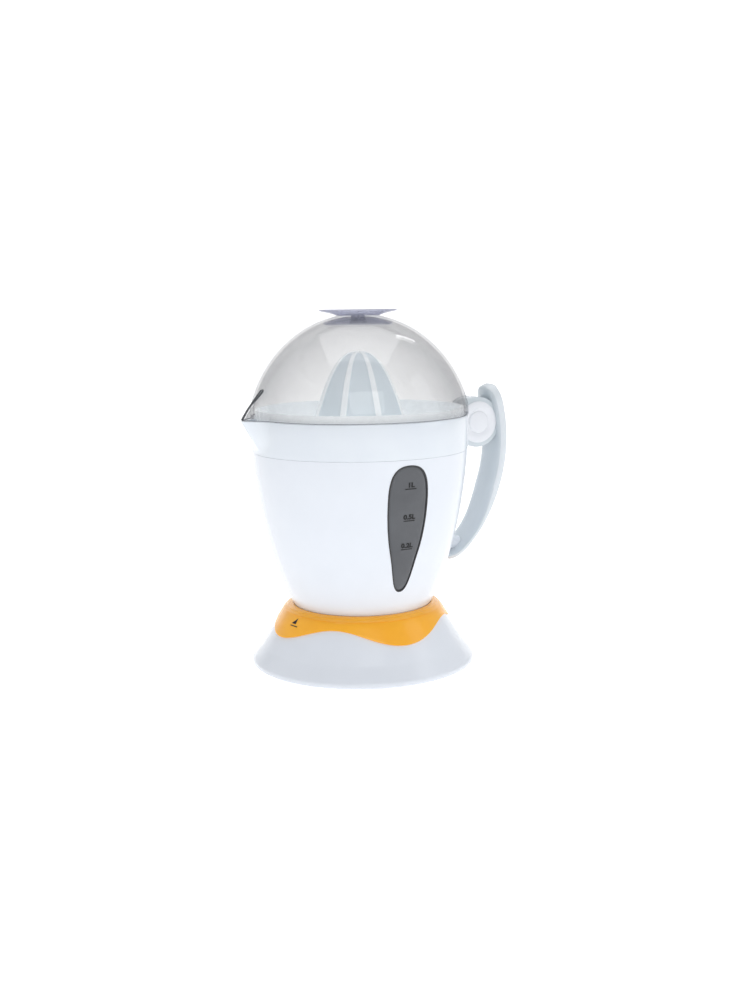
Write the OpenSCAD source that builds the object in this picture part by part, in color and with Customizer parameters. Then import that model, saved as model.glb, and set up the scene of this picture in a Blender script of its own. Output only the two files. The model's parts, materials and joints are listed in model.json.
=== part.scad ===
// Citrus press juicer: a conical motor base, a lift-off jug with spout and handle,
// a strainer, a spinning reamer cone and a clear dust cover.
// Origin: centre of the base on the table, +Z up, handle towards +X, spout towards -X.

/* [Base] */
// Largest radius of the base skirt
skirt_r = 82.2; // [80:0.1:84]
// Radius of the skirt where it meets the jug
neck_r = 55.4; // [54.8:0.1:56]
// Height of the top of the skirt
neck_z = 44; // [43:0.5:45]
// Wall of the base skirt
skirt_wall = 2.6; // [2:0.1:3]
// Height of the waves along the collar's lower edge
collar_wave = 5.2; // [0:0.1:6]

/* [Jug] */
// Outer radius of the jug at its foot
jug_foot_r = 50.8; // [50:0.1:51.5]
// Outer radius of the jug at its mouth
jug_mouth_r = 78.4; // [78:0.1:79]
// Height of the mouth above the table
mouth_z = 182.2; // [180:0.1:184]
// Height of the seam between the jug and the spout ring
seam_z = 157.4; // [155:0.1:160]
// Wall of the jug
jug_wall = 2.4; // [2:0.1:2.8]
// Radius of the spout's tip
spout_reach = 90.7; // [88:0.1:93]

/* [Handle] */
// Outer radius of the curved strap
strap_r = 114.3; // [113:0.1:115]
// Width of the strap
strap_w = 28; // [24:1:30]
// Thickness of the strap along its upper part
strap_t = 8.6; // [8:0.1:9]

/* [Top] */
// Radius of the reamer cone above its brim
cone_r = 34.6; // [33:0.1:35.5]
// Height of the cone's tip above the table
cone_tip_z = 228.6; // [224:0.1:229]
// Number of ribs on the cone
cone_ribs = 8; // [6:1:10]
// Number of slots in the strainer
strainer_slots = 36; // [24:1:40]
// Height of the dome's centre plane
dome_mid_z = 163.7; // [163:0.1:164]
// Half width of the dome's outline
dome_a = 82.6; // [82:0.1:83]
// Half height of the dome's outline
dome_c = 91.7; // [91:0.1:92]
// Radius of the knob on the cover
knob_r = 28; // [24:1:30]

/* [Gears] */
// Teeth on each pinion
pinion_teeth = 14; // [14:1:14]
// Teeth on each large gear
wheel_teeth = 40; // [40:1:40]

/* [Hidden] */
$fn = 96;
part_fn = 32;      // facets of small pins, screws and rounded corners
gap = 0.3;         // clearance between pieces that move apart
fit = 0.05;        // radial clearance of a running fit
eps = 0.1;         // overlap that keeps a cut clean

white = [0.93, 0.95, 0.98];
orange = [1.0, 0.66, 0.16];
smoke = [0.33, 0.34, 0.37, 0.75];
clear = [0.72, 0.73, 0.75, 0.35];
rubber_grey = [0.25, 0.25, 0.27];
steel = [0.72, 0.73, 0.75];
brass = [0.80, 0.66, 0.36];
nylon = [0.90, 0.88, 0.80];

// ---- curves ----
function bez(p, t) = pow(1 - t, 3) * p[0] + 3 * pow(1 - t, 2) * t * p[1]
    + 3 * (1 - t) * t * t * p[2] + pow(t, 3) * p[3];

// Jug outline as a curve of [radius, height] from foot to mouth
jug_curve = [
    [jug_foot_r, neck_z], [77.3, 96.7],
    [80.1, 172.6], [jug_mouth_r, mouth_z]
];
function curve_t(z, lo = 0, hi = 1, n = 24) = n == 0 ? (lo + hi) / 2
    : bez(jug_curve, (lo + hi) / 2)[1] < z ? curve_t(z, (lo + hi) / 2, hi, n - 1)
    : curve_t(z, lo, (lo + hi) / 2, n - 1);
function jug_r(z) = bez(jug_curve, curve_t(z))[0];
jug_steps = 18;
function jug_side(z0, z1, off) = [for (i = [0:jug_steps])
    let (z = z0 + (z1 - z0) * i / jug_steps) [jug_r(z) + off, z]];

// Base skirt outline: nearly straight, rounded at the table
skirt_edge_z = 1.0;
skirt_points = [
    [skirt_r - 0.8, skirt_edge_z], [skirt_r, 2.0], [skirt_r, 3.4],
    [skirt_r - 2.3, 6], [74.4, 14], [67.9, 24], [61.7, 34], [neck_r + 0.9, neck_z - 1.4]
];
function skirt_line_r(z) = neck_r + (neck_z - z) * (74.4 - neck_r) / (neck_z - 14);

// Dome outline: an ellipse that turns upright near the rim
rim_z = mouth_z + 0.4;
dome_rim_r = 79.2;
dome_wall = 1.8;
function dome_r(z, off) = min(dome_rim_r - off,
    (dome_a - off) * sqrt(max(0, 1 - pow((z - dome_mid_z) / (dome_c - off), 2))));
dome_steps = 22;
function dome_side(z0, off) = [for (i = [0:dome_steps])
    let (a = asin((z0 - dome_mid_z) / (dome_c - off)), b = a + (90 - a) * i / dome_steps,
         z = dome_mid_z + (dome_c - off) * sin(b)) [dome_r(z, off), z]];

// ---- gear train ----
tooth_module = 1;
pressure_angle = 20;
backlash = 0.22;
pinion_r = pinion_teeth * tooth_module / 2;
wheel_r = wheel_teeth * tooth_module / 2;
rotor_at = [32, 0];
idler_at = [rotor_at[0] / 2, sqrt(pow(pinion_r + wheel_r, 2) - pow(rotor_at[0] / 2, 2))];
rotor_to_idler = atan2(idler_at[1], idler_at[0] - rotor_at[0]);
idler_to_output = atan2(-idler_at[1], -idler_at[0]);

function inv_deg(a) = tan(a) * 180 / PI - a;
// Half the angle that a tooth spans at radius r
function tooth_half(n, r) = let (rp = n * tooth_module / 2, rb = rp * cos(pressure_angle))
    (90 / n) - (backlash / 2) / rp * 90 / PI + inv_deg(pressure_angle)
    - inv_deg(acos(min(1, rb / max(r, rb))));
flank_steps = 4;
module gear_2d(n) {
    rp = n * tooth_module / 2;
    rb = rp * cos(pressure_angle);
    tip = rp + 0.9 * tooth_module;
    root = rp - 1.2 * tooth_module;
    start = max(root, rb);
    radii = [for (i = [0:flank_steps]) start + (tip - start) * i / flank_steps];
    flank = concat([root], radii);
    points = [for (k = [0:n - 1]) each concat(
        [for (r = flank) let (a = k * 360 / n - tooth_half(n, r)) r * [cos(a), sin(a)]],
        [for (i = [len(flank) - 1:-1:0])
            let (a = k * 360 / n + tooth_half(n, flank[i])) flank[i] * [cos(a), sin(a)]])];
    polygon(points);
}
module gear(n, z0, z1, phase) {
    translate([0, 0, z0]) rotate(phase) linear_extrude(z1 - z0) gear_2d(n);
}

// ---- helpers ----
module rod(r, z0, z1, at = [0, 0]) {
    translate([at[0], at[1], z0]) cylinder(r = r, h = z1 - z0);
}
module tube(r_out, r_in, z0, z1, at = [0, 0]) {
    difference() {
        rod(r_out, z0, z1, at);
        rod(r_in, z0 - eps, z1 + eps, at);
    }
}
module rod_y(r, y0, y1, x, z) {
    translate([x, y0, z]) rotate([-90, 0, 0]) cylinder(r = r, h = y1 - y0);
}
module slab_y(w) {
    rotate([90, 0, 0]) linear_extrude(w, center = true) children();
}
function ring_at(r, a) = [r * cos(a), r * sin(a)];
module screw(head_r, head_h, shank_r, length) {
    cylinder(r = head_r, h = head_h);
    translate([0, 0, head_h - eps]) cylinder(r = shank_r, h = length + eps);
}

// ---- heights inside the base ----
platform_z = 40.2;
platform_t = 2.4;
deck_z = platform_z - platform_t;
deck_r = 53.5;
floor_z = 4.2;          // top of the bottom cover
cover_under_z = 1.6;    // underside of the bottom cover
plate_z = 25.5;
plate_t = 2;
wheel_z = [28.5, 31.7];
pinion_z = [31.7, 36.9];
output_z = [32.4, 36.4];
boss_r = 5.9;
boss_top_z = 62;
bush_r = 4.0;
spindle_r = 3;
spindle_flat = 2.2;
spindle_z = [15.3, 196];
post_r = 4.5;
post_spots = [for (a = [100, 180, 300]) ring_at(41, a)];
screw_spots = [for (a = [41:90:311]) ring_at(51.7, a)];
screw_hole_r = 1.25;
screw_r = 1.2;
gland_z = 10;
gland_r = 5.1;
gland_bore_r = 3.3;
gland_end_y = 79.8;

peg_r = 2;
peg_top_z = platform_z - 0.6;
module base_housing() {
    color(white) difference() {
        rotate_extrude() polygon(concat(
            [[skirt_r - 2.8, skirt_edge_z]], skirt_points,
            [[neck_r, neck_z - 0.7], [deck_r + 0.1, neck_z - 0.7], [deck_r + 0.05, deck_z],
             [deck_r - 1, deck_z], [deck_r - 1, deck_z - 1.2],
             [skirt_line_r(deck_z) - skirt_wall - 1, deck_z - 2.2], [74.4 - skirt_wall, 14],
             [skirt_r - 5, 6.6], [skirt_r - 2.8, 4.6]]));
        for (p = screw_spots) rod(post_r + gap, 20, deck_z + eps, p, $fn = part_fn);
        rod_y(gland_r + 0.1, 68, 90, 0, gland_z);
    }
}

// Round deck under the jug, set on a ledge inside the skirt; it carries the motor and the tower
module motor_deck() {
    color(white) difference() {
        rod(deck_r, deck_z, platform_z);
        rod(boss_r + 0.02, deck_z - eps, platform_z + eps);
        for (p = concat(post_spots, screw_spots))
            rod(peg_r + 0.02, deck_z - eps, peg_top_z + eps, p, $fn = part_fn);
    }
}

// Sleeve pressed into the platform that carries the spindle's upper bush
module spindle_tower() {
    color(white) tube(boss_r, bush_r, deck_z, boss_top_z);
}

// Threaded post with a peg on top that is pressed into the platform
module post(p, low_z, hole) {
    difference() {
        union() {
            rod(post_r, low_z, deck_z - 0.05, p, $fn = part_fn);
            rod(peg_r, low_z, peg_top_z, p, $fn = part_fn);
        }
        rod(screw_hole_r, low_z - eps, low_z + hole, p, $fn = part_fn);
    }
}
module case_posts() {
    color(white) for (p = screw_spots) post(p, floor_z + 0.1, 14);
}
module plate_spacers() {
    color(white) for (p = post_spots) post(p, plate_z + plate_t, 9);
}

// Collar that hugs the neck, its lower edge a four-lobed wave
collar_mid_z = 31;
collar_phase = 87.5;
collar_proud = 1.1;
collar_steps = 120;
function collar_low(a) = collar_mid_z - collar_wave * cos(4 * (a + collar_phase));
module base_collar() {
    top_z = neck_z - 1.6;
    lip_z = neck_z + 0.8;
    lip_r = jug_r(lip_z) + 0.5;
    rows = [for (i = [0:collar_steps - 1]) let (a = i * 360 / collar_steps, z = collar_low(a))
        [[skirt_line_r(z) + 0.1, z], [skirt_line_r(z) + collar_proud, z],
         [skirt_line_r(top_z) + collar_proud, top_z], [skirt_line_r(top_z) + 0.1, top_z]]];
    points = [for (i = [0:collar_steps - 1]) for (p = rows[i])
        let (a = i * 360 / collar_steps) [p[0] * cos(a), p[0] * sin(a), p[1]]];
    faces = [for (i = [0:collar_steps - 1]) for (k = [0:3])
        let (j = (i + 1) % collar_steps, m = (k + 1) % 4)
        [4 * i + k, 4 * i + m, 4 * j + m, 4 * j + k]];
    color(orange) union() {
        polyhedron(points, faces, convexity = 6);
        rotate_extrude() polygon([
            [skirt_line_r(top_z) + 0.5, top_z - 0.6], [skirt_line_r(top_z) + 1, top_z - 0.6],
            [skirt_line_r(top_z) + 1, top_z + 0.3], [neck_r + 1, lip_z - 1.1], [neck_r - 1, lip_z - 0.3],
            [lip_r, lip_z], [lip_r, lip_z - 0.6], [deck_r, lip_z - 1.15], [neck_r + 0.8, lip_z - 1.15]]);
    }
}

module bottom_cover() {
    head_room = 1.3;
    color(white) difference() {
        rod(skirt_r - 3.1, cover_under_z, floor_z);
        for (p = screw_spots) {
            rod(3.8, cover_under_z - eps, cover_under_z + head_room, p, $fn = part_fn);
            rod(1.6, cover_under_z, floor_z + eps, p, $fn = part_fn);
        }
        for (s = [-1, 1]) rod(screw_hole_r, floor_z - 2, floor_z + eps, [0, s * 17], $fn = part_fn);
        for (a = [0:30:330]) rotate(a) translate([30, -1, cover_under_z - eps]) cube([14, 2, 3]);
    }
}

module foot_ring() {
    color(rubber_grey) rotate_extrude() polygon([
        [70.4, 0], [75.6, 0], [76.4, 0.6], [76.4, cover_under_z], [69.6, cover_under_z], [69.6, 0.6]]);
}

module cover_screws() {
    color(steel) for (p = screw_spots)
        translate([p[0], p[1], cover_under_z + 0.1]) screw(3.5, 1.1, screw_r, 14, $fn = part_fn);
}

module cord_gland() {
    color(rubber_grey) difference() {
        union() {
            rod_y(gland_r, 70, gland_end_y, 0, gland_z);
            difference() {
                rod_y(7.5, 73, gland_end_y, 0, gland_z);
                rotate_extrude() polygon(concat([[0, skirt_edge_z]],
                    [for (p = skirt_points) p + [0.1, 0]], [[0, neck_z]]));
            }
        }
        rod_y(gland_bore_r, 69, gland_end_y + 1, 0, gland_z);
    }
}

// ---- motor and gearbox ----
journal_r = 5;
plate_r = 46.8;
module gear_plate() {
    color(steel) difference() {
        rod(plate_r, plate_z, plate_z + plate_t);
        rod(journal_r + fit, plate_z - eps, plate_z + plate_t + eps);
        rod(bush_r, plate_z - eps, plate_z + plate_t + eps, rotor_at, $fn = part_fn);
        rod(1.5, plate_z - eps, plate_z + plate_t + eps, idler_at, $fn = part_fn);
        for (p = post_spots) rod(1.6, plate_z - eps, plate_z + plate_t + eps, p, $fn = part_fn);
        for (a = [140, 225, 260]) let (p = ring_at(30, a)) rod(7, plate_z - eps, 28, p);
    }
}

module gear_plate_screws() {
    color(steel) for (p = post_spots)
        translate([p[0], p[1], plate_z - 1.8]) screw(3.2, 1.8, screw_r, 9, $fn = part_fn);
}

can_r = 21.5;
can_z = [6.5, plate_z - 0.2];
can_wall = 1;
module motor_can() {
    color(steel) difference() {
        rod(can_r, can_z[0], can_z[1], rotor_at);
        rod(can_r - can_wall, can_z[0] + can_wall, can_z[1] + eps, rotor_at);
        rod(bush_r, can_z[0] - eps, can_z[0] + 2, rotor_at, $fn = part_fn);
    }
}

module motor_coil() {
    color(brass) union() {
        tube(can_r - can_wall - 0.2, 13.6, 8, 9, rotor_at);
        tube(can_r - can_wall - 1.2, 13.6, 9 - eps, 22 + eps, rotor_at);
        tube(can_r - can_wall - 0.2, 13.6, 22, 23, rotor_at);
    }
}

shaft_r = 1.5;
module rotor_bushes() {
    color(brass) {
        tube(bush_r - 0.02, shaft_r + fit, can_z[0], can_z[0] + 2.6, rotor_at);
        tube(bush_r - 0.02, shaft_r + fit, plate_z - 0.6, plate_z + plate_t, rotor_at);
    }
}

module rotor_magnet() {
    color(rubber_grey) tube(12.8, shaft_r, 10, 22, rotor_at);
}

module rotor_shaft() {
    color(steel) rod(shaft_r, can_z[0] + 0.4, 34, rotor_at);
}

module rotor_pinion() {
    color(nylon) difference() {
        translate([rotor_at[0], rotor_at[1], 0]) gear(pinion_teeth, 28, 32, rotor_to_idler);
        rod(shaft_r, 27, 33, rotor_at);
    }
}

module idler_pin() {
    color(steel) rod(1.5, plate_z - 1, 37.4, idler_at);
}

module idler_gear() {
    color(nylon) difference() {
        translate([idler_at[0], idler_at[1], 0]) {
            gear(wheel_teeth, wheel_z[0], wheel_z[1], rotor_to_idler + 180 + 180 / wheel_teeth);
            gear(pinion_teeth, pinion_z[0] - eps, pinion_z[1], idler_to_output);
        }
        rod(1.5 + fit, wheel_z[0] - 1, pinion_z[1] + 1, idler_at);
    }
}

// A shaft with one flat, grown by off for the hole that it slides in
module flat_shaft(z0, z1, off) {
    difference() {
        rod(spindle_r + off, z0, z1);
        translate([-6, spindle_flat + off, z0 - 1]) cube([12, 5, z1 - z0 + 2]);
    }
}

module output_gear() {
    color(nylon) difference() {
        union() {
            gear(wheel_teeth, output_z[0], output_z[1], idler_to_output - 180 + 180 / wheel_teeth);
            rod(journal_r, plate_z, output_z[0] + 1);
            rod(5.8, plate_z + plate_t + gap, output_z[0] + 1);
            rod(7, output_z[0], 37.2);
        }
        flat_shaft(plate_z - 1, 38, fit);
    }
}

flat_low_z = [25, 41];
flat_high_z = 171;
module spindle() {
    color(steel) union() {
        rod(spindle_r, spindle_z[0], flat_low_z[0]);
        flat_shaft(flat_low_z[0], flat_low_z[1], 0);
        rod(spindle_r, flat_low_z[1], flat_high_z);
        flat_shaft(flat_high_z, spindle_z[1], 0);
    }
}

module spindle_collar() {
    color(steel) tube(5.6, spindle_r + 0.02, 23.2, 24.8);
}

module spindle_bush() {
    color(brass) difference() {
        union() {
            rod(bush_r - 0.02, 50, boss_top_z + 0.2);
            rod(boss_r, boss_top_z, boss_top_z + 1.5);
        }
        rod(spindle_r + fit, 49, boss_top_z + 2);
    }
}

// ---- switch under the spindle ----
bracket_z = [15.8, 17];
module switch_body() {
    color(rubber_grey) difference() {
        translate([-3.2, -10, floor_z + 0.1]) cube([6.4, 20, 7.5]);
        rod(1.7, 7.2, 14, $fn = part_fn);
    }
}

module switch_button() {
    color(orange) rod(1.6, 10.6, 15, $fn = part_fn);
}

module switch_bracket() {
    color(steel) difference() {
        union() {
            translate([-5, -14, bracket_z[0]]) cube([10, 28, bracket_z[1] - bracket_z[0]]);
            for (s = [-1, 1]) {
                translate([-5, s * 13.4 - 0.6, floor_z]) cube([10, 1.2, bracket_z[1] - floor_z]);
                translate([-5, s * 17 - 4.2, floor_z]) cube([10, 8.4, 1.2]);
            }
        }
        rod(spindle_r + 0.5, bracket_z[0] - 1, bracket_z[1] + 1);
        for (s = [-1, 1]) rod(1.4, floor_z - 1, floor_z + 2, [0, s * 17], $fn = part_fn);
    }
}

module bracket_screws() {
    color(steel) for (s = [-1, 1]) translate([0, s * 17, floor_z + 2.5])
        mirror([0, 0, 1]) screw(2.6, 1.2, screw_r, 2.8, $fn = part_fn);
}

// Coil spring between the bracket and the collar on the spindle
spring_r = 4.5;
wire_r = 0.35;
spring_turns = 3.5;
spring_z = [bracket_z[1] + wire_r + 0.05, 23.2 - wire_r - 0.05];
spring_sides = 8;
spring_steps = 84;
module return_spring() {
    rings = [for (i = [0:spring_steps]) let (a = i * spring_turns * 360 / spring_steps,
        z = spring_z[0] + (spring_z[1] - spring_z[0]) * i / spring_steps)
        [for (k = [0:spring_sides - 1]) let (b = k * 360 / spring_sides, r = spring_r + wire_r * cos(b))
            [r * cos(a), r * sin(a), z + wire_r * sin(b)]]];
    side = [for (i = [0:spring_steps - 1]) for (k = [0:spring_sides - 1])
        let (p = i * spring_sides, q = p + spring_sides, m = (k + 1) % spring_sides)
        [p + k, p + m, q + m, q + k]];
    low_end = [[for (k = [spring_sides - 1:-1:0]) k]];
    high_end = [[for (k = [0:spring_sides - 1]) spring_steps * spring_sides + k]];
    color(steel) polyhedron([for (r = rings) each r], concat(side, low_end, high_end), convexity = 8);
}

// ---- jug ----
jug_floor_z = 43;
jug_under_z = 40.5;
chimney_r = 9;
chimney_bore_r = 6.5;
chimney_top_z = 171;
window_x = 1.9;
window_half = [
    [[0, 62.2], [6.4, 62.2], [7.0, 76], [10.9, 91]],
    [[10.9, 91], [14.8, 106], [15.6, 121], [15.4, 131]],
    [[15.4, 131], [15.2, 147], [11, 153.8], [0, 153.8]]
];
window_steps = 8;
// Teardrop outline, shrunk evenly towards its middle by inset
module window_2d(inset) {
    half = [for (c = window_half) for (i = [0:window_steps - 1]) bez(c, i / window_steps)];
    right = concat(half, [window_half[2][3]]);
    outline = concat(right, [for (i = [len(half) - 1:-1:1]) [-right[i][0], right[i][1]]]);
    scale_x = (15.4 - inset) / 15.4;
    scale_z = (45.8 - inset) / 45.8;
    translate([window_x, 0]) polygon([for (p = outline)
        [p[0] * scale_x, 108 + (p[1] - 108) * scale_z]]);
}
module window_cut(inset) {
    translate([0, -40, 0]) rotate([90, 0, 0]) linear_extrude(50) window_2d(inset);
}
module jug_shell(z0, z1, inner, outer) {
    side = jug_side(z0, z1, outer);
    back = jug_side(z0, z1, inner);
    rotate_extrude() polygon(concat(side, [for (i = [jug_steps:-1:0]) back[i]]));
}

module jug_body() {
    outer = jug_side(neck_z, seam_z, 0);
    inner = jug_side(jug_floor_z + 3, seam_z, -jug_wall);
    color(white) difference() {
        rotate_extrude() polygon(concat(
            [[chimney_bore_r, jug_under_z], [jug_foot_r - 3, jug_under_z],
             [jug_foot_r - 0.8, jug_under_z + 1.2]],
            outer, [for (i = [jug_steps:-1:0]) inner[i]],
            [[jug_foot_r - jug_wall - 3, jug_floor_z], [chimney_r + 1, jug_floor_z],
             [chimney_r, jug_floor_z + 1], [chimney_r - 0.4, chimney_top_z],
             [chimney_bore_r, chimney_top_z]]));
        window_cut(0);
    }
}

module window_gasket() {
    color(rubber_grey) difference() {
        intersection() {
            jug_shell(neck_z, seam_z, -jug_wall + 0.2, 0.3);
            window_cut(0.1);
        }
        window_cut(1.2);
    }
}

module level_window() {
    color(smoke) intersection() {
        jug_shell(neck_z, seam_z, -jug_wall + 0.4, 0);
        window_cut(1.3);
    }
}

spout_wall = 2;
spout_nose = 2.2;       // rounding of the spout's edges
spout_wing = [-75, 16];
spout_wing_z = 172;
spout_cheek = [-75.2, 13, 167];
spout_ridge = [-77.2, 0, 167.3];
spout_mouth = [-61, 0, 163];
// Solid wedge that the spout is made of, shrunk by off
module spout_wedge(off, rise) {
    r = spout_nose - off / 2;
    top = mouth_z + rise;
    hull() {
        rod(r, top - rise - 0.8, top, [-spout_reach + spout_nose + off, 0], $fn = part_fn);
        for (s = [-1, 1]) {
            rod(r, spout_wing_z + off, top, [spout_wing[0], s * (spout_wing[1] - off)], $fn = part_fn);
            translate([spout_cheek[0] + off, s * (spout_cheek[1] - off), spout_cheek[2] + off])
                sphere(r = r, $fn = part_fn);
        }
        translate(spout_ridge + [off, 0, off]) sphere(r = spout_nose, $fn = part_fn);
        translate(spout_mouth + [0, 0, off]) cylinder(r = 1, h = 17, $fn = part_fn);
    }
}

// Lug on the spout ring that the handle is pinned to
pivot = [93.5, 173];
lug_r = 9;
lug_half = 5;
pin_r = 3;
module rim_ring() {
    outer = jug_side(seam_z + 0.2, mouth_z, 0.15);
    color(white) difference() {
        union() {
            rotate_extrude() polygon(concat(outer,
                [[76.2, mouth_z], [76.2, 177.9], [72.8, 177.9], [72.8, 175.9], [76, 172.5],
                 [76, 162], [73.2, 160], [73.2, 151], [75, 151], [75, seam_z + 0.2]]));
            difference() {
                spout_wedge(0, 0);
                rod(76.5, 150, 190);
            }
            difference() {
                union() {
                    rod_y(lug_r, -lug_half, lug_half, pivot[0], pivot[1]);
                    translate([77, -lug_half, pivot[1] - lug_r]) cube([pivot[0] - 77, 2 * lug_half, 2 * lug_r]);
                }
                rod_y(pin_r + 0.02, -lug_half - 1, lug_half + 1, pivot[0], pivot[1]);
            }
        }
        spout_wedge(spout_wall, 4);
    }
}

// ---- handle ----
strap_centre = [3.6, 160.3];
strap_top_a = 19.5;
strap_low_a = -53;
strap_thin = 4.2;
strap_steps = 36;
function ease(u) = let (v = min(1, max(0, u))) v * v * (3 - 2 * v);
function strap_thickness(a) = strap_t + (strap_thin - strap_t) * ease((-18 - a) / 22);
function strap_point(r, a) = strap_centre + r * [cos(a), sin(a)];
module strap_2d() {
    angles = [for (i = [0:strap_steps]) strap_top_a + (strap_low_a - strap_top_a) * i / strap_steps];
    polygon(concat(
        [for (a = angles) strap_point(strap_r, a)],
        [for (i = [strap_steps:-1:0]) strap_point(strap_r - strap_thickness(angles[i]), angles[i])]));
    translate(strap_point(strap_r - strap_t / 2, strap_top_a)) circle(r = strap_t / 2);
    translate(strap_point(strap_r - strap_thin / 2, strap_low_a)) circle(r = strap_thin / 2);
}

// Side view of the strap's outline across its width: both ends are rounded
end_z = [68.4, 201.4];
end_low_h = 9;
end_steps = 16;
module strap_ends_2d() {
    r = strap_w / 2;
    polygon(concat(
        [for (i = [0:end_steps]) let (a = 180 * i / end_steps) [r * cos(a), end_z[1] - r + r * sin(a)]],
        [for (i = [0:end_steps]) let (a = 180 * i / end_steps)
            [-r * cos(a), end_z[0] + end_low_h * (1 - sin(a))]]));
}

drum_r = 18.9;
drum_half = 9.6;
stub_r = 4.8;
stub_z = 80.6;
cap_r = 15.6;
cap_end_y = 11.2;
module jug_room() {
    rotate_extrude() polygon(concat([[0, neck_z]], jug_side(neck_z, mouth_z, 0.35),
        [[dome_rim_r + 0.8, mouth_z - 0.5], [dome_rim_r + 0.8, 205], [0, 205]]));
}
module handle() {
    color(white) difference() {
        union() {
            intersection() {
                slab_y(strap_w) strap_2d();
                rotate([90, 0, 90]) linear_extrude(130) strap_ends_2d();
            }
            rod_y(drum_r, -drum_half, drum_half, pivot[0], pivot[1]);
            translate([60, 0, stub_z]) rotate([0, 90, 0]) cylinder(r = stub_r, h = 24);
        }
        jug_room();
        for (s = [0, 1]) mirror([0, s, 0])
            rod_y(cap_r + gap, drum_half, strap_w, pivot[0], pivot[1]);
        rod_y(lug_r + 0.3, -lug_half - 0.2, lug_half + 0.2, pivot[0], pivot[1]);
        translate([70, -lug_half - 0.2, pivot[1] - lug_r - 0.3])
            cube([pivot[0] - 70, 2 * lug_half + 0.4, 2 * lug_r + 0.6]);
        rod_y(pin_r + 0.02, -drum_half - 1, drum_half + 1, pivot[0], pivot[1]);
        for (s = [-1, 1]) rod_y(5.2, s * drum_half - 2.2, s * drum_half + 2.2, pivot[0], pivot[1]);
    }
}

module handle_caps() {
    color(steel) for (s = [0, 1]) mirror([0, s, 0]) difference() {
        union() {
            rod_y(cap_r, drum_half + 0.1, cap_end_y, pivot[0], pivot[1]);
            tube_y(5.1, 4.1, drum_half - 1.6, drum_half + 0.3, pivot[0], pivot[1]);
        }
        tube_y(8.6, 8.1, cap_end_y - 0.3, cap_end_y + 1, pivot[0], pivot[1]);
        jug_room();
    }
}
module tube_y(r_out, r_in, y0, y1, x, z) {
    difference() {
        rod_y(r_out, y0, y1, x, z);
        rod_y(r_in, y0 - eps, y1 + eps, x, z);
    }
}

module handle_pin() {
    color(steel) rod_y(pin_r, -drum_half + 0.1, drum_half - 0.1, pivot[0], pivot[1]);
}

// ---- strainer ----
strainer_lip_r = 75.8;
strainer_lip_z = 188;
strainer_floor_z = [166.4, 168.4];
collar_r = [9.4, 11.6];
collar_top_z = 172.5;
slot_r = [40, 62];
module strainer() {
    color(white) difference() {
        rotate_extrude() polygon([
            [strainer_lip_r, strainer_lip_z], [strainer_lip_r, 178.2], [72.3, 178.2],
            [65.8, strainer_floor_z[0]], [collar_r[0], strainer_floor_z[0]],
            [collar_r[0], collar_top_z], [collar_r[1], collar_top_z],
            [collar_r[1], strainer_floor_z[1]], [64.8, strainer_floor_z[1]],
            [71, 180], [73.8, strainer_lip_z]]);
        for (i = [0:strainer_slots - 1]) rotate(i * 360 / strainer_slots)
            translate([slot_r[0], -0.8, strainer_floor_z[0] - 1]) cube([slot_r[1] - slot_r[0], 1.6, 4]);
    }
}

// ---- drive hub, washer and cone ----
hub_r = 7;
hub_z = [175, 198.5];
hub_flange_z = [177.4, 178.8];
module thrust_washer() {
    color(nylon) tube(11.8, hub_r + 0.08, 175.9, 177.1);
}

module drive_hub() {
    color(nylon) difference() {
        union() {
            rod(hub_r, hub_z[0], hub_z[1]);
            rod(9.5, hub_flange_z[0], hub_flange_z[1]);
        }
        flat_shaft(hub_z[0] - 1, spindle_z[1] + 0.6, fit);
    }
}

brim_r = 36.5;
brim_z = [177.8, 179.2];
cone_foot_z = 181;
flute_depth = 2.6;
cone_steps = 14;
rib_t = 2.4;
// Ogive of the cone, made narrower by off at its foot
function cone_radius(u) = cone_r * pow(1 - pow(u, 0.92), 0.4);
function cone_side(off) = [for (i = [0:cone_steps])
    let (u = 1 - pow(1 - i / cone_steps, 1.6))
    [cone_radius(u) * (1 - off / cone_r), cone_foot_z + (cone_tip_z - cone_foot_z) * u]];
module cone_solid(off) {
    polygon(concat([[0, brim_z[0]], [brim_r, brim_z[0]], [brim_r, brim_z[1]]], cone_side(off)));
}
core_r = 9.4;
cone_wall = 2.2;
module reamer_cone() {
    under = [for (i = [0:8]) cone_side(flute_depth + cone_wall)[i]];
    color(white) difference() {
        union() {
            rotate_extrude() cone_solid(flute_depth);
            for (i = [0:cone_ribs - 1]) rotate(i * 360 / cone_ribs)
                intersection() {
                    slab_y(rib_t) cone_solid(0);
                    translate([0, -5, brim_z[0]]) cube([brim_r, 10, 60]);
                }
        }
        rotate_extrude() polygon(concat([[core_r, brim_z[0] - 1], [brim_r - 2, brim_z[0] - 1],
            [brim_r - 2, 179]], under, [[core_r, under[8][1]]]));
        rod(hub_r + fit, 170, hub_z[1] + gap);
        rod(core_r, 170, hub_flange_z[1] + gap);
    }
}

// ---- cover ----
knob_hole_r = 5;
module dome_solid(off, low_z) {
    side = dome_side(rim_z, off);
    rotate_extrude() polygon(concat([[0, low_z], [dome_rim_r - off, low_z]], side,
        [[0, dome_mid_z + dome_c - off]]));
}
// Centres of the rounded edges of the hood, above its foot: ridge first, then one side
hood_ridge = [[-83, 0, 190.2], [-78.6, 0, 194.9]];
hood_side = [[-74.3, 14, 193], [-71.6, 4, 201.4]];
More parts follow.
